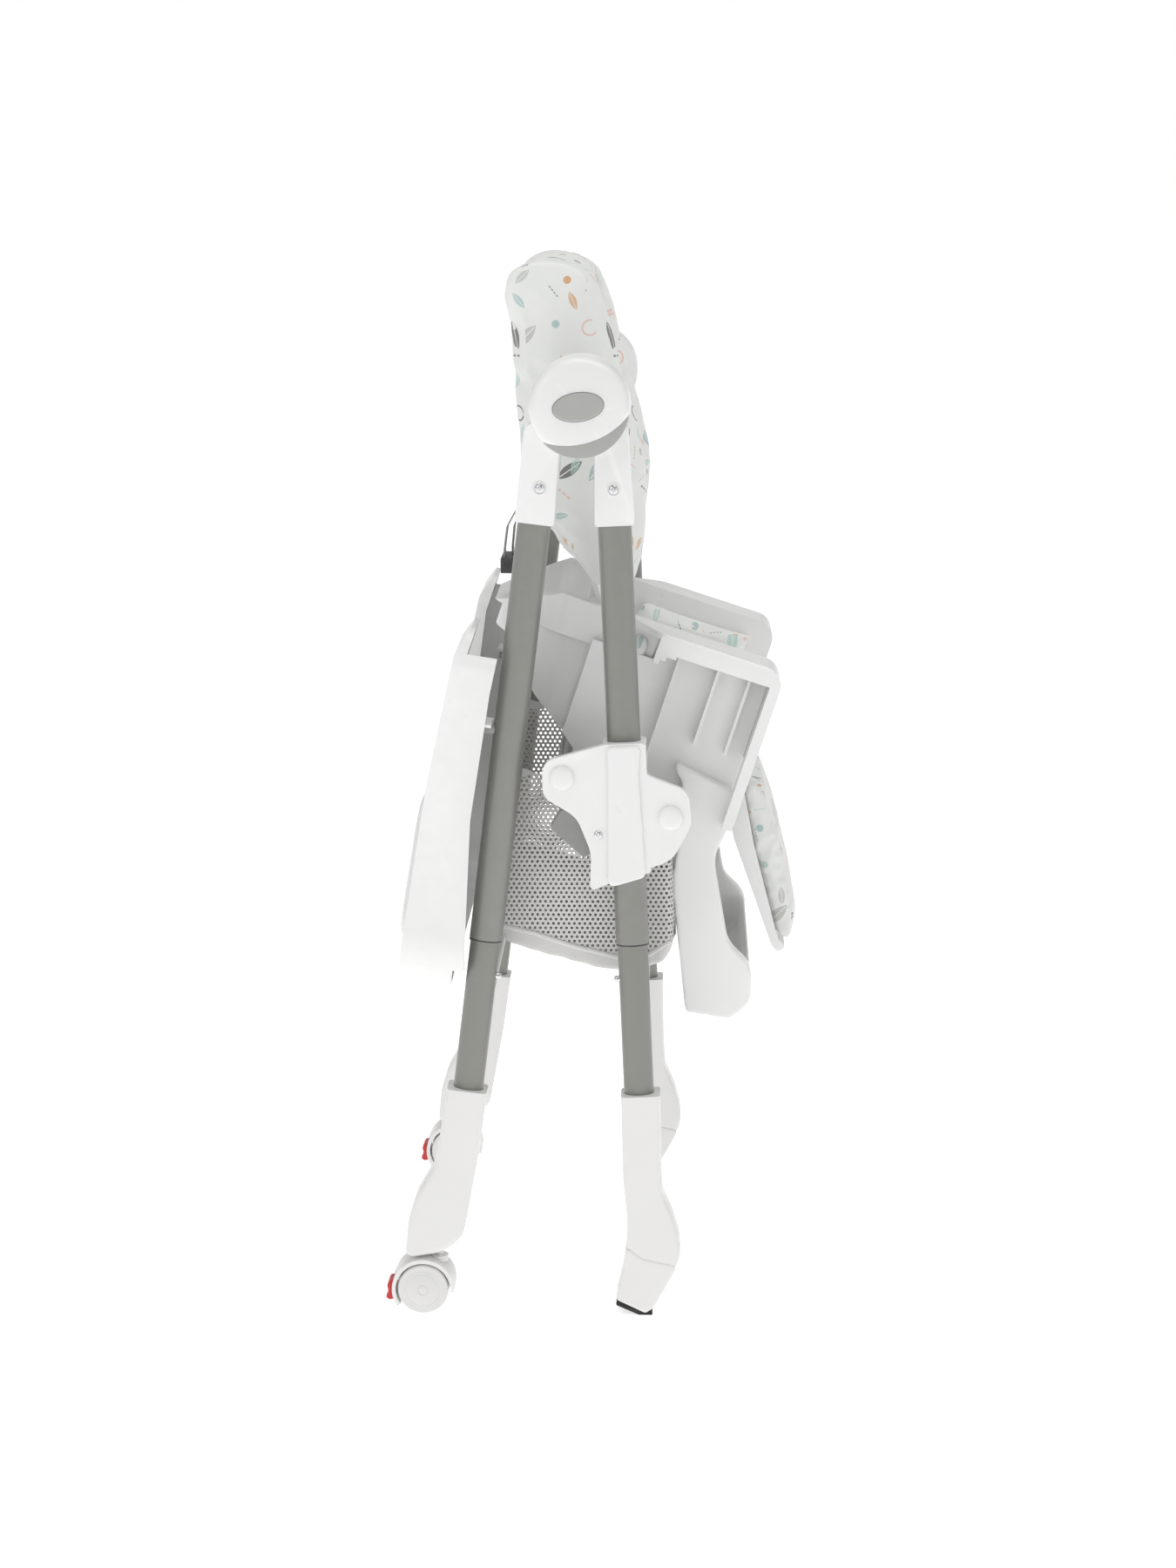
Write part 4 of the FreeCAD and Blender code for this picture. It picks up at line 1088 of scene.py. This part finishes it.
@dataclass
class LegFrame:
    """The two leg pairs with their hubs, locks and feet. Sizes are in millimetres."""

    track: float = 220.0
    socket_face: float = 246.0
    tube_joint: float = 546.0
    snap_down: float = 584.0
    cover_inner: float = 258.2
    cover_profile: tuple[Point, ...] = (
        (0, 0), (48.6, 0), (49, 0.6), (49, 4.5), (48.5, 8.2), (47, 11.4), (44.5, 13.8), (40.5, 15.3),
        (34, 16.2), (22, 16.7), (10, 16.8), (0, 16.8))
    snap_profile: tuple[Point, ...] = (
        (0, -4.6), (3.3, -4.6), (3.4, 2.4), (3.15, 3.6), (2.4, 4.5), (1.2, 4.95), (0, 5.0))
    seam_profile: tuple[Point, ...] = ((15.5, -1.4), (16.5, -1.4), (16.5, 0.1), (15.5, 0.1), (15.5, -1.4))
    lip_profile: tuple[Point, ...] = (
        (15.45, -3.6), (16.3, -3.3), (16.75, -2.6), (16.7, -1.7), (16.2, -1.4), (15.45, -1.4), (15.45, -3.6))
    cup_profile: tuple[Point, ...] = (
        (4.9, -0.4), (7.4, -0.4), (7.2, 0.4), (6.7, 0.8), (6.0, 0.8), (5.2, 0.1), (4.9, -0.4))
    screw_drops: dict[str, tuple[float, float]] = field(
        default_factory=lambda: {"front": (1.0, -81.0), "rear": (2.0, -80.0)})
    foot_half: float = 17.4
    toe_proud: float = 0.7
    toe_rounds: int = 8
    soft_rounds: int = 22
    front_cut: Point = (0.0555, 0.237)
    rear_cut: Point = (-0.122, 0.241)
    front_ankle: Outline = (
        (35, 256), (75.5, 256), (77, 171, 30), (79, 131, 30), (90, 106, 30), (96.5, 84, 18), (98, 68, 10),
        (94, 51, 6), (57, 59, 10), (42, 72, 6), (42, 107, 30), (38, 146, 40))
    front_toe: Outline = (
        (42, 76, 4), (57, 63, 12), (93.5, 55, 6), (93, 50, 8), (78, 22, 20), (70, 8, 7), (62, 2.2, 3),
        (31, 16.8, 3), (38, 47, 20))
    rear_heel: Outline = (
        (-140.5, 258), (-99.5, 258), (-111, 173, 40), (-118, 135, 30), (-125, 96, 14), (-128, 84, 8),
        (-140, 72, 10),
        (-155, 65, 14), (-181, 60.5, 6), (-188, 64, 4), (-184.5, 100, 30), (-176.5, 126, 26), (-168, 141, 22),
        (-156, 161, 30), (-152.5, 183, 40))

    def build(self) -> None:
        """Build and dress both leg pairs."""
        for pair, leg in (("front", FRONT_LEG), ("rear", REAR_LEG)):
            body = f"{pair}_frame"
            for side in Side:
                keep_node(f"{pair}_upper_tube_{side.word}", TUBE)
                keep_node(f"{pair}_lower_tube_{side.word}", TUBE)
                self.tube_lip(pair, leg, side, body)
                self.snap_button(pair, leg, side)
            keep_node(f"{pair}_crossbar", TUBE)
            self.socket_screws(pair, leg, body)
        keep_node("hub_pins", STEEL)
        for side in Side:
            self.hub(side)
            self.feet(side)
        moulding("hub_trims", "front_frame", GREY, "grey_plastic", 0.8, "hub_crescents")
        self.soles()
        pegs = Bench.soften(Bench.from_node("tray_pegs", "tray_hanging_pegs"), 0.9)
        dress(pegs, GREY, "rear_frame", "grey_plastic", "tray_pegs")

    def on_leg(self, piece: Piece, leg: Leaning, side: Side, down: float) -> Piece:
        """Carry a piece modelled about the world origin to a leg.

        Args:
            piece: the piece, with its Z along the leg.
            leg: the leg's plane.
            side: which side of the chair.
            down: how far below the hub axis.

        Returns:
            The same piece, settled.
        """
        x, z = leg.at(0, -down)
        piece.rotation_euler = (0, math.radians(leg.lean), 0)
        piece.location = (x, side.value * self.track * MM, z)
        return Bench.settle(piece)

    def tube_lip(self, pair: str, leg: Leaning, side: Side, body: str) -> None:
        """The rolled lip and the dark seam where the lower tube enters the upper one."""
        for name, profile, finish in (("tube_seam", self.seam_profile, BLACK),
                                      ("tube_lip", self.lip_profile, TUBE)):
            ring = Bench.turned(f"{pair}_{name}_{side.word}", profile, Vector(), Vector((0, 0, 1)), 56)
            ring.scale = (1, 0.745, 1)
            Bench.settle(ring)
            self.on_leg(ring, leg, side, self.tube_joint)
            dress(ring, finish, body, "frame_grey")

    def snap_button(self, pair: str, leg: Leaning, side: Side) -> None:
        """The sprung button that locks a lower tube."""
        toward = -1 if pair == "front" else 1
        x, z = leg.at(toward * 15.4, -self.snap_down)
        button = Bench.turned(f"{pair}_snap_{side.word}", self.snap_profile,
                              Vector((x, side.value * self.track * MM, z)), leg.across * toward, 28)
        dress(button, STEEL, f"{pair}_snap_{side.word}", "bright_steel", f"{pair}_snap_button_{side.word}")

    def socket_screws(self, pair: str, leg: Leaning, body: str) -> None:
        """The screws in the leg sockets, each in its round cup."""
        across, up = self.screw_drops[pair]
        x, z = leg.at(across, up)
        heads = []
        for side in Side:
            outward = Vector((0, side.value, 0))
            seat = Vector((x, side.value * self.socket_face * MM, z))
            heads.append(screw_head(f"{pair}_screw", seat, outward))
            cup = Bench.turned(f"{pair}_screw_cup_{side.word}", self.cup_profile, seat, outward, 36)
            dress(cup, WHITE, body, "white_plastic")
        dress(Bench.joined(f"{pair}_screws", *heads), STEEL, body, "bright_steel", f"{pair}_socket_screws")

    def oval(self, length: float, height: float) -> list[Point]:
        """The outline of the fold button, tipped up towards the front.

        Args:
            length: the long way in millimetres.
            height: the short way in millimetres.

        Returns:
            Places in metres.
        """
        x, z = HUB.at(-1, 2)
        plane = Leaning(x / MM, z / MM, -8)
        turns = [math.tau * step / 56 for step in range(56)]
        return plane.line([(length / 2 * math.cos(turn), height / 2 * math.sin(turn)) for turn in turns])

    def hub(self, side: Side) -> None:
        """A hub: housing, socket, domed cover with its curved lower edge, and the fold button."""
        word, sign = side.word, side.value
        x, z = HUB.at(0, 0)
        centre = Vector((x, sign * self.cover_inner * MM, z))
        cover = Bench.turned(f"hub_dome_{word}", self.cover_profile, centre, Vector((0, sign, 0)), 72)
        Bench.deselect()
        smile_x, smile_z = HUB.at(-14, 45)
        bpy.ops.mesh.primitive_cylinder_add(vertices=160, radius=80.4 * MM, depth=60 * MM,
                                            location=(smile_x, sign * 266 * MM, smile_z),
                                            rotation=(math.pi / 2, 0, 0))
        Bench.carved(cover, Bench.settle(Bench.named("SmileTool")), keep="INTERSECT")
        Bench.carved(cover, Bench.plate("OvalTool", self.oval(50.6, 28.6), *side.span(259.4, 290)))
        Bench.soften(cover, 0.9, angle=45)
        dress(cover, WHITE, "front_frame", "white_plastic", f"hub_cover_{word}")
        button = Bench.plate(f"fold_oval_{word}", self.oval(49.8, 27.8), *side.span(264, 277.8))
        Bench.soften(button, 2.4, 5)
        dress(button, GREY, f"fold_button_{word}", "grey_plastic", f"fold_button_{word}")
        self.socket(f"hub_housing_{word}", f"hub_body_{word}", FRONT_LEG, "front_frame")
        self.socket(f"rear_socket_{word}", f"rear_leg_socket_{word}", REAR_LEG, "rear_frame")

    def socket(self, node: str, name: str, leg: Leaning, body: str) -> None:
        """A leg socket whose long corners are well rounded.

        Args:
            node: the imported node.
            name: the piece's name.
            leg: the leg's plane.
            body: the body that it rides on.
        """
        def long_corner(first: Vector, second: Vector) -> bool:
            """Whether an edge is an outer corner that runs down the leg below the hub."""
            run = (second - first).normalized()
            middle = (first + second) / 2
            beside = (middle - Vector((leg.x, middle.y, leg.z))).dot(leg.across)
            return (abs(run.dot(leg.up)) > 0.98 and (second - first).length > 12 and abs(beside) > 17.6
                    and middle.z < 905)

        piece = Bench.round_edges(Bench.from_node(node, name), 8.0, 6, long_corner)
        dress(Bench.soften(piece, 1.2, 3, 40), WHITE, body, "white_plastic", node)

    def shoe(self, name: str, side: Side, outline: Sequence[tuple[float, ...]], grow: float,
             rounds: int) -> Piece:
        """One soft-edged block of a foot.

        Args:
            name: the piece's name.
            side: which side of the chair.
            outline: its corners in the side view, in millimetres.
            grow: how far it stands out past the foot's half width.
            rounds: how soft its edges are.

        Returns:
            The block.
        """
        middle, half = side.value * self.track, self.foot_half + grow
        block = Bench.plate(name, FLOOR.line(rounded(outline, 6)), middle - half, middle + half)
        return Bench.melted(block, 1.7, rounds)

    def feet(self, side: Side) -> None:
        """The plastic feet of one side: an ankle round the tube and, in front, a separate toe."""
        word = side.word
        ankle = self.shoe(f"front_ankle_{word}", side, self.front_ankle, 0, self.soft_rounds)
        Bench.trimmed(ankle, self.front_cut, FRONT_LEG.lean)
        toe = self.shoe(f"front_toe_{word}", side, self.front_toe, self.toe_proud, self.toe_rounds)
        dress(Bench.joined(f"front_shoe_{word}", ankle, toe), WARM_WHITE, "front_frame", "white_plastic",
              f"front_foot_{word}")
        heel = self.shoe(f"rear_shoe_{word}", side, self.rear_heel, 0, self.soft_rounds)
        Bench.trimmed(heel, self.rear_cut, REAR_LEG.lean)
        dress(heel, WARM_WHITE, "rear_frame", "white_plastic", f"rear_foot_{word}")

    def soles(self) -> None:
        """The rubber soles under the front feet."""
        sole = Bench.soften(Bench.from_node("front_foot_soles", "toe_soles"), 0.7)
        dress(sole, RUBBER, "front_frame", "dark_rubber", "front_foot_soles")


@dataclass
class Castor:
    """One castor: hood, twin wheels and brake lever. Sizes are in millimetres."""

    side: Side
    track: float = 220.0
    wheel_x: float = -169.5
    wheel_z: float = 26.5
    disc_face: float = 19.4
    pedal: Outline = (
        (-198.6, 33.5, 2), (-205.5, 33.5, 4), (-208.4, 26, 5), (-206.2, 20.5, 4), (-210, 14, 4),
        (-206, 10.8, 4), (-199.5, 12, 3), (-200.6, 22, 5))
    pedal_half: float = 9.5
    cap_profile: tuple[Point, ...] = (
        (0, -1), (19.5, -1), (19.5, 0.1), (18.8, 0.5), (17.6, 0.2), (16.8, 0.5), (6, 0.9), (5.4, 0.4),
        (4.6, 0.9), (0, 1.0))

    def build(self) -> None:
        """Build and dress the castor."""
        word = self.side.word
        moulding(f"caster_hood_{word}", f"caster_{word}", WARM_WHITE, "white_plastic", 1.3,
                 f"castor_hood_{word}")
        wheels = Bench.soften(Bench.from_node(f"caster_wheels_{word}", f"castor_wheels_{word}"), 2.2, 4)
        dress(wheels, WHEEL_WHITE, f"wheels_{word}", "wheel_white", f"caster_wheels_{word}")
        self.wheel_caps()
        pedal = Bench.plate(f"brake_pedal_{word}", FLOOR.line(rounded(self.pedal, 4)),
                            *self.side.span(self.track - self.pedal_half, self.track + self.pedal_half))
        dress(Bench.melted(pedal, 0.8, 6), RED, f"brake_{word}", "red_plastic", f"brake_lever_{word}")

    def wheel_caps(self) -> None:
        """The shallow discs in the outer faces of the wheels."""
        caps = []
        for way in (-1, 1):
            face = self.side.value * self.track + way * self.disc_face
            centre = Vector((self.wheel_x, face, self.wheel_z)) * MM
            caps.append(Bench.turned("WheelCap", self.cap_profile, centre, Vector((0, way, 0)), 56))
        dress(Bench.joined(f"wheel_caps_{self.side.word}", *caps), WHEEL_WHITE, f"wheels_{self.side.word}",
              "wheel_white")


# Seat carriage ----------------------------------------------------------------------------------

@dataclass
class Carriage:
    """What slides on the front legs: brackets, seat, seat pad and basket. Sizes are in millimetres."""

    bracket_face: float = 245.0
    cap_profile: tuple[Point, ...] = (
        (0, -0.5), (12.2, -0.5), (12.2, 1.8), (11.6, 3.2), (10.2, 4.2), (7, 4.8), (0, 5.0))
    cap_places: tuple[Point, ...] = ((-63, -367), (44, -412))
    screw_place: Point = (-29, -427)
    bulge: Outline = (
        (-17, -337, 6), (17, -337, 6), (14, -366, 30), (17, -472, 8), (-22, -482, 8), (-17, -366, 30))
    corner_centre: Point = (48, 145)
    corner_radius: float = 20.0
    rib_panel: Outline = (
        (-128, 132), (-128, 30), (-112, 17), (-112, 10), (57, 10), (57, 150), (-42, 150),
        (-42, 142), (-61, 142), (-61, 132))
    skirt: Outline = (
        (-64, 162), (-64, 133), (-58, 133, 1), (-58, 138, 1), (-52, 138, 1), (-52, 142.5, 1), (-42, 142.5, 1),
        (-42, 162))
    notches: tuple[float, ...] = (-23, -7.5, 7.5, 23)
    notch_half: float = 0.9
    basket_hem: float = 562.0
    binding_radius: float = 2.6
    basket_cloth: float = 0.28
    wing: Outline = ((-108, 118, 14), (-96, 94, 14), (-78, 96, 10), (-70, 150, 8), (-92, 152, 12))
    basket_half: float = 186.0
    basket_outline: Outline = (
        (-99, 583), (-102, 522, 30), (-114, 470, 30), (-111, 430, 30), (-90, 398, 10), (-87, 385, 8),
        (-40, 371, 40),
        (30, 353, 40), (78, 363, 18), (89, 382, 14), (90, 420, 30), (84, 522))
    basket_seam: tuple[Point, ...] = ((-92, 404), (-56, 397), (-18, 384), (29, 372), (64, 375), (90, 388))

    def build(self) -> None:
        """Build and dress the carriage."""
        for side in Side:
            self.bracket(side)
        self.bracket_fittings()
        keep_node("seat_crossbars", STEEL)
        self.seat()
        self.seat_pad()
        self.basket()

    def bracket(self, side: Side) -> None:
        """A height bracket with the bulge over its collar, and its trigger."""
        word = side.word
        moulding(f"height_bracket_{word}", "carriage", WHITE, "white_plastic", 2.4, f"slide_bracket_{word}")
        bulge = Bench.plate(f"bracket_bulge_{word}", FRONT_LEG.line(rounded(self.bulge)),
                            *side.span(self.bracket_face - 3, self.bracket_face + 3.4))
        dress(Bench.soften(bulge, 2.6, 4), WHITE, "carriage", "white_plastic")
        moulding(f"height_trigger_{word}", f"height_trigger_{word}", MID_GREY, "grey_plastic", 1.4,
                 f"slide_trigger_{word}")

    def bracket_fittings(self) -> None:
        """The domed caps and the screws of both brackets."""
        caps, heads = [], []
        for side in Side:
            outward = Vector((0, side.value, 0))
            for place in self.cap_places:
                x, z = FRONT_LEG.at(*place)
                centre = Vector((x, side.value * self.bracket_face * MM, z))
                caps.append(Bench.turned("Cap", self.cap_profile, centre, outward, 56))
            x, z = FRONT_LEG.at(*self.screw_place)
            heads.append(screw_head("Screw", Vector((x, side.value * self.bracket_face * MM, z)), outward))
        dress(Bench.joined("bracket_domes", *caps), WHITE, "carriage", "white_plastic", "bracket_caps")
        dress(Bench.joined("bracket_screw_heads", *heads), STEEL, "carriage", "bright_steel",
              "bracket_screws")

    def seat(self) -> None:
        """The seat moulding with the panels, steps and small ribs under its armrests."""
        (across, up), radius, past = self.corner_centre, self.corner_radius, self.corner_radius + 8
        turns = [math.radians(angle) for angle in range(90, -1, -9)]
        arc = [(across + radius * math.cos(turn), up + radius * math.sin(turn)) for turn in turns]
        beyond = ((across + past, up), (across + past, up + past), (across, up + past))
        tool = Bench.plate("CornerTool", SEAT.line([*arc, *beyond]), -190, 190)
        shell = Bench.carved(Bench.from_node("seat_shell", "seat_moulding"), tool)
        dress(Bench.soften(shell, 1.4), WHITE, "carriage", "white_plastic", "seat_shell")
        for side in Side:
            parts = []
            for name, outline, near, far in (("rib_panel", self.rib_panel, 145, 148.4),
                                             ("skirt", self.skirt, 175.5, 179)):
                plate = Bench.plate(name, SEAT.line(rounded(outline)), *side.span(near, far))
                parts.append(Bench.soften(plate, 0.9))
            for station in self.notches:
                left, right = station - self.notch_half, station + self.notch_half
                outline = SEAT.line(((left, 147), (right, 147), (right, 160), (left, 160)))
                parts.append(Bench.soften(Bench.plate("notch_rib", outline, *side.span(152, 176)), 0.4))
            dress(Bench.joined(f"seat_ribbing_{side.word}", *parts), WHITE, "carriage", "white_plastic")
            wing = Bench.plate(f"seat_wing_{side.word}", SEAT.line(rounded(self.wing, 5)),
                               *side.span(124, 147))
            wing = Bench.flat_map(Bench.wrinkled(Bench.swollen(wing, 3.5, 4.0), 24, 3.0))
            dress(wing, PRINT, "carriage", "printed_fabric")

    def seat_pad(self) -> None:
        """The padded seat lining, its crotch strap and its buckle."""
        pad = Bench.flat_map(Bench.swollen(Bench.from_node("seat_pad", "seat_cushion"), 4.0, 5.0))
        dress(pad, PRINT, "carriage", "printed_fabric", "seat_pad")
        strap = Bench.flat_map(Bench.soften(Bench.from_node("crotch_strap", "crotch_webbing"), 0.4))
        dress(strap, WEBBING, "carriage", "webbing", "crotch_strap")
        moulding("harness_buckle", "carriage", BLACK, "black_plastic", 2.0, "harness_clasp")

    def basket(self) -> None:
        """The mesh basket with its hem, its solid bottom and its bindings."""
        outline = FLOOR.line(rounded(self.basket_outline, 6))
        bag = Bench.plate("mesh_basket", outline, -self.basket_half, self.basket_half)
        Bench.melted(bag, 6.0, 6)
        top = max(vertex.co.z for vertex in bag.data.vertices)
        Bench.edit(bag, "FACE")
        bpy.ops.mesh.select_all(action="DESELECT")
        bpy.ops.object.mode_set(mode="OBJECT")
        for face in bag.data.polygons:
            face.select = face.normal.z > 0.4 and face.center.z > 0.93 * top
        bpy.ops.object.mode_set(mode="EDIT")
        bpy.ops.mesh.delete(type="FACE")
        bpy.ops.object.mode_set(mode="OBJECT")
        Bench.wrinkled(bag, 70, 3.0)
        Bench.modify(bag, "SUBSURF", levels=1, render_levels=1)
        bag.data.materials.append(MESH.material())
        bag.data.materials.append(LINING.material())
        seam_x, seam_z = zip(*self.basket_seam)
        for face in bag.data.polygons:
            x, z = face.center.x / MM, face.center.z / MM
            face.material_index = int(z < np.interp(x, seam_x, seam_z) or z > self.basket_hem)
        Bench.flat_map(bag)
        dress(bag, MESH, "carriage", "mesh_fabric", "basket")
        cut = sum(face.area for face in bag.data.polygons)
        LOG.info("basket cloth %.4f square metres", cut)
        half = self.basket_half
        sides = [[Vector((x, y, z)) * MM for x, z in self.basket_seam] for y in (-half, half)]
        ends = [[Vector((x, y, z)) * MM for y in np.linspace(-half, half, 12)]
                for x, z in (self.basket_seam[0], self.basket_seam[-1])]
        bindings = [Bench.piping("basket_binding", [self.on_cloth(bag, place) for place in path],
                                 self.binding_radius) for path in (*sides, *ends)]
        binding = Bench.flat_map(Bench.joined("basket_bindings", *bindings))
        dress(binding, BINDING, "carriage", "mesh_fabric")

    @staticmethod
    def on_cloth(cloth: Piece, place: Vector) -> Vector:
        """The nearest place on a piece of cloth."""
        return cloth.closest_point_on_mesh(place)[1]


# Backrest ---------------------------------------------------------------------------------------

@dataclass
class Backrest:
    """The reclining back: shell, padded cover, handle and straps."""

    def build(self) -> None:
        """Build and dress the backrest."""
        moulding("backrest_shell", "backrest", WHITE, "white_plastic", 1.4, "back_moulding")
        pad = Bench.swollen(Bench.from_node("backrest_pad", "back_cushion"), 4.5, 9.0)
        Bench.flat_map(Bench.wrinkled(Bench.wrinkled(pad, 70, 9.0), 22, 2.0))
        dress(pad, PRINT, "backrest", "printed_fabric", "backrest_pad")
        moulding("recline_handle", "recline_lever", GREY, "grey_plastic", 2.5, "recline_grip")
        straps = Bench.flat_map(Bench.soften(Bench.from_node("harness_straps", "harness_webbing"), 0.4))
        dress(straps, WEBBING, "backrest", "webbing", "harness_straps")
        moulding("strap_adjuster", "backrest", BLACK, "black_plastic", 3.2, "webbing_adjuster")


# Legrest, footrest and tray ---------------------------------------------------------------------

@dataclass
class LegSupport:
    """The calf rest and the footrest."""

    def build(self) -> None:
        """Build and dress both."""
        moulding("legrest_panel", "legrest", WHITE, "white_plastic", 1.8, "calf_board")
        pad = Bench.swollen(Bench.from_node("legrest_pad", "calf_cushion"), 3.5, 6.0)
        Bench.flat_map(Bench.wrinkled(pad, 40, 2.5))
        dress(pad, PRINT, "legrest", "printed_fabric", "legrest_pad")
        board = Bench.melted(Bench.from_node("footrest", "foot_board"), 2.0, 14)
        dress(board, WHITE, "footrest", "white_plastic", "footrest")


@dataclass
class StoredTray:
    """The meal tray hung behind the rear legs."""

    def build(self) -> None:
        """Build and dress the tray and its insert."""
        moulding("tray", "stored_tray", WHITE, "white_plastic", 1.5, "meal_tray")
        moulding("tray_insert", "stored_tray", WHITE, "white_plastic", 2.0, "tray_liner")


# Room -------------------------------------------------------------------------------------------

@dataclass
class Studio:
    """A plain pale floor, soft light and the camera."""

    camera_place: tuple[float, float, float] = (0.0937, -3.2212, 1.2045)
    camera_turn: tuple[float, float, float] = (77.905, 0.0, 1.760)
    lens: float = 70.0
    room_light: float = 0.46

    def build(self) -> None:
        """Set up the floor, the lights and the camera."""
        Bench.deselect()
        bpy.ops.mesh.primitive_plane_add(size=60)
        floor = Bench.named("studio_floor")
        floor.data.materials.append(self.floor_material())
        self.light("overhead", (0.3, -0.2, 3.2), (0, 0, 0), 2.6, 34)
        self.light("front_left", (-2.2, -2.6, 2.3), (55, 0, -40), 1.8, 17)
        self.light("front_right", (2.8, -2.2, 1.8), (62, 0, 52), 1.6, 7)
        world = bpy.data.worlds.new("pale_room")
        bpy.context.scene.world = world
        world.use_nodes = True
        nodes = Nodes(world.node_tree)
        seen = nodes.add("ShaderNodeLightPath").outputs["Is Camera Ray"]
        strength = nodes.math("MULTIPLY_ADD", seen, 1.0 - self.room_light, self.room_light)
        light = nodes.add("ShaderNodeBackground", {"Color": (1, 1, 1, 1), "Strength": strength})
        nodes.add("ShaderNodeOutputWorld", {0: light.outputs[0]})
        lens = bpy.data.cameras.new("chair_camera")
        lens.lens, lens.sensor_width, lens.sensor_fit = self.lens, 36.0, "AUTO"
        lens.clip_end = 100
        camera = bpy.data.objects.new("chair_camera", lens)
        bpy.context.scene.collection.objects.link(camera)
        camera.location = self.camera_place
        camera.rotation_euler = [math.radians(angle) for angle in self.camera_turn]
        bpy.context.scene.camera = camera
        bpy.context.scene.view_settings.view_transform = "Standard"

    @staticmethod
    def floor_material() -> bpy.types.Material:
        """Matt pale paper.

        Returns:
            The floor's material.
        """
        paper = bpy.data.materials.new("StudioPaper")
        paper.use_nodes = True
        nodes = Nodes(paper.node_tree)
        shader = nodes.add("ShaderNodeBsdfPrincipled",
                           {"Roughness": 0.9, "Base Color": (0.94, 0.94, 0.94, 1),
                            "Emission Color": (1, 1, 1, 1), "Emission Strength": 0.64})
        nodes.add("ShaderNodeOutputMaterial", {0: shader.outputs[0]})
        return paper

    @staticmethod
    def light(name: str, place: tuple[float, float, float], turn: tuple[float, float, float], size: float,
              power: float) -> None:
        """Add one soft square light.

        Args:
            name: the light's name.
            place: where it stands, in metres.
            turn: its angles in degrees; with no turn it points straight down.
            size: its side in metres.
            power: watts.
        """
        data = bpy.data.lights.new(name, "AREA")
        data.size, data.energy = size, power
        lamp = bpy.data.objects.new(name, data)
        bpy.context.scene.collection.objects.link(lamp)
        lamp.location = place
        lamp.rotation_euler = [math.radians(angle) for angle in turn]


def main() -> None:
    """Build the chair and its room."""
    logging.basicConfig(level=logging.INFO, format="%(message)s")
    Studio().build()
    LegFrame().build()
    for side in Side:
        Castor(side).build()
    Carriage().build()
    Backrest().build()
    LegSupport().build()
    StoredTray().build()


if __name__ == "__main__":
    main()
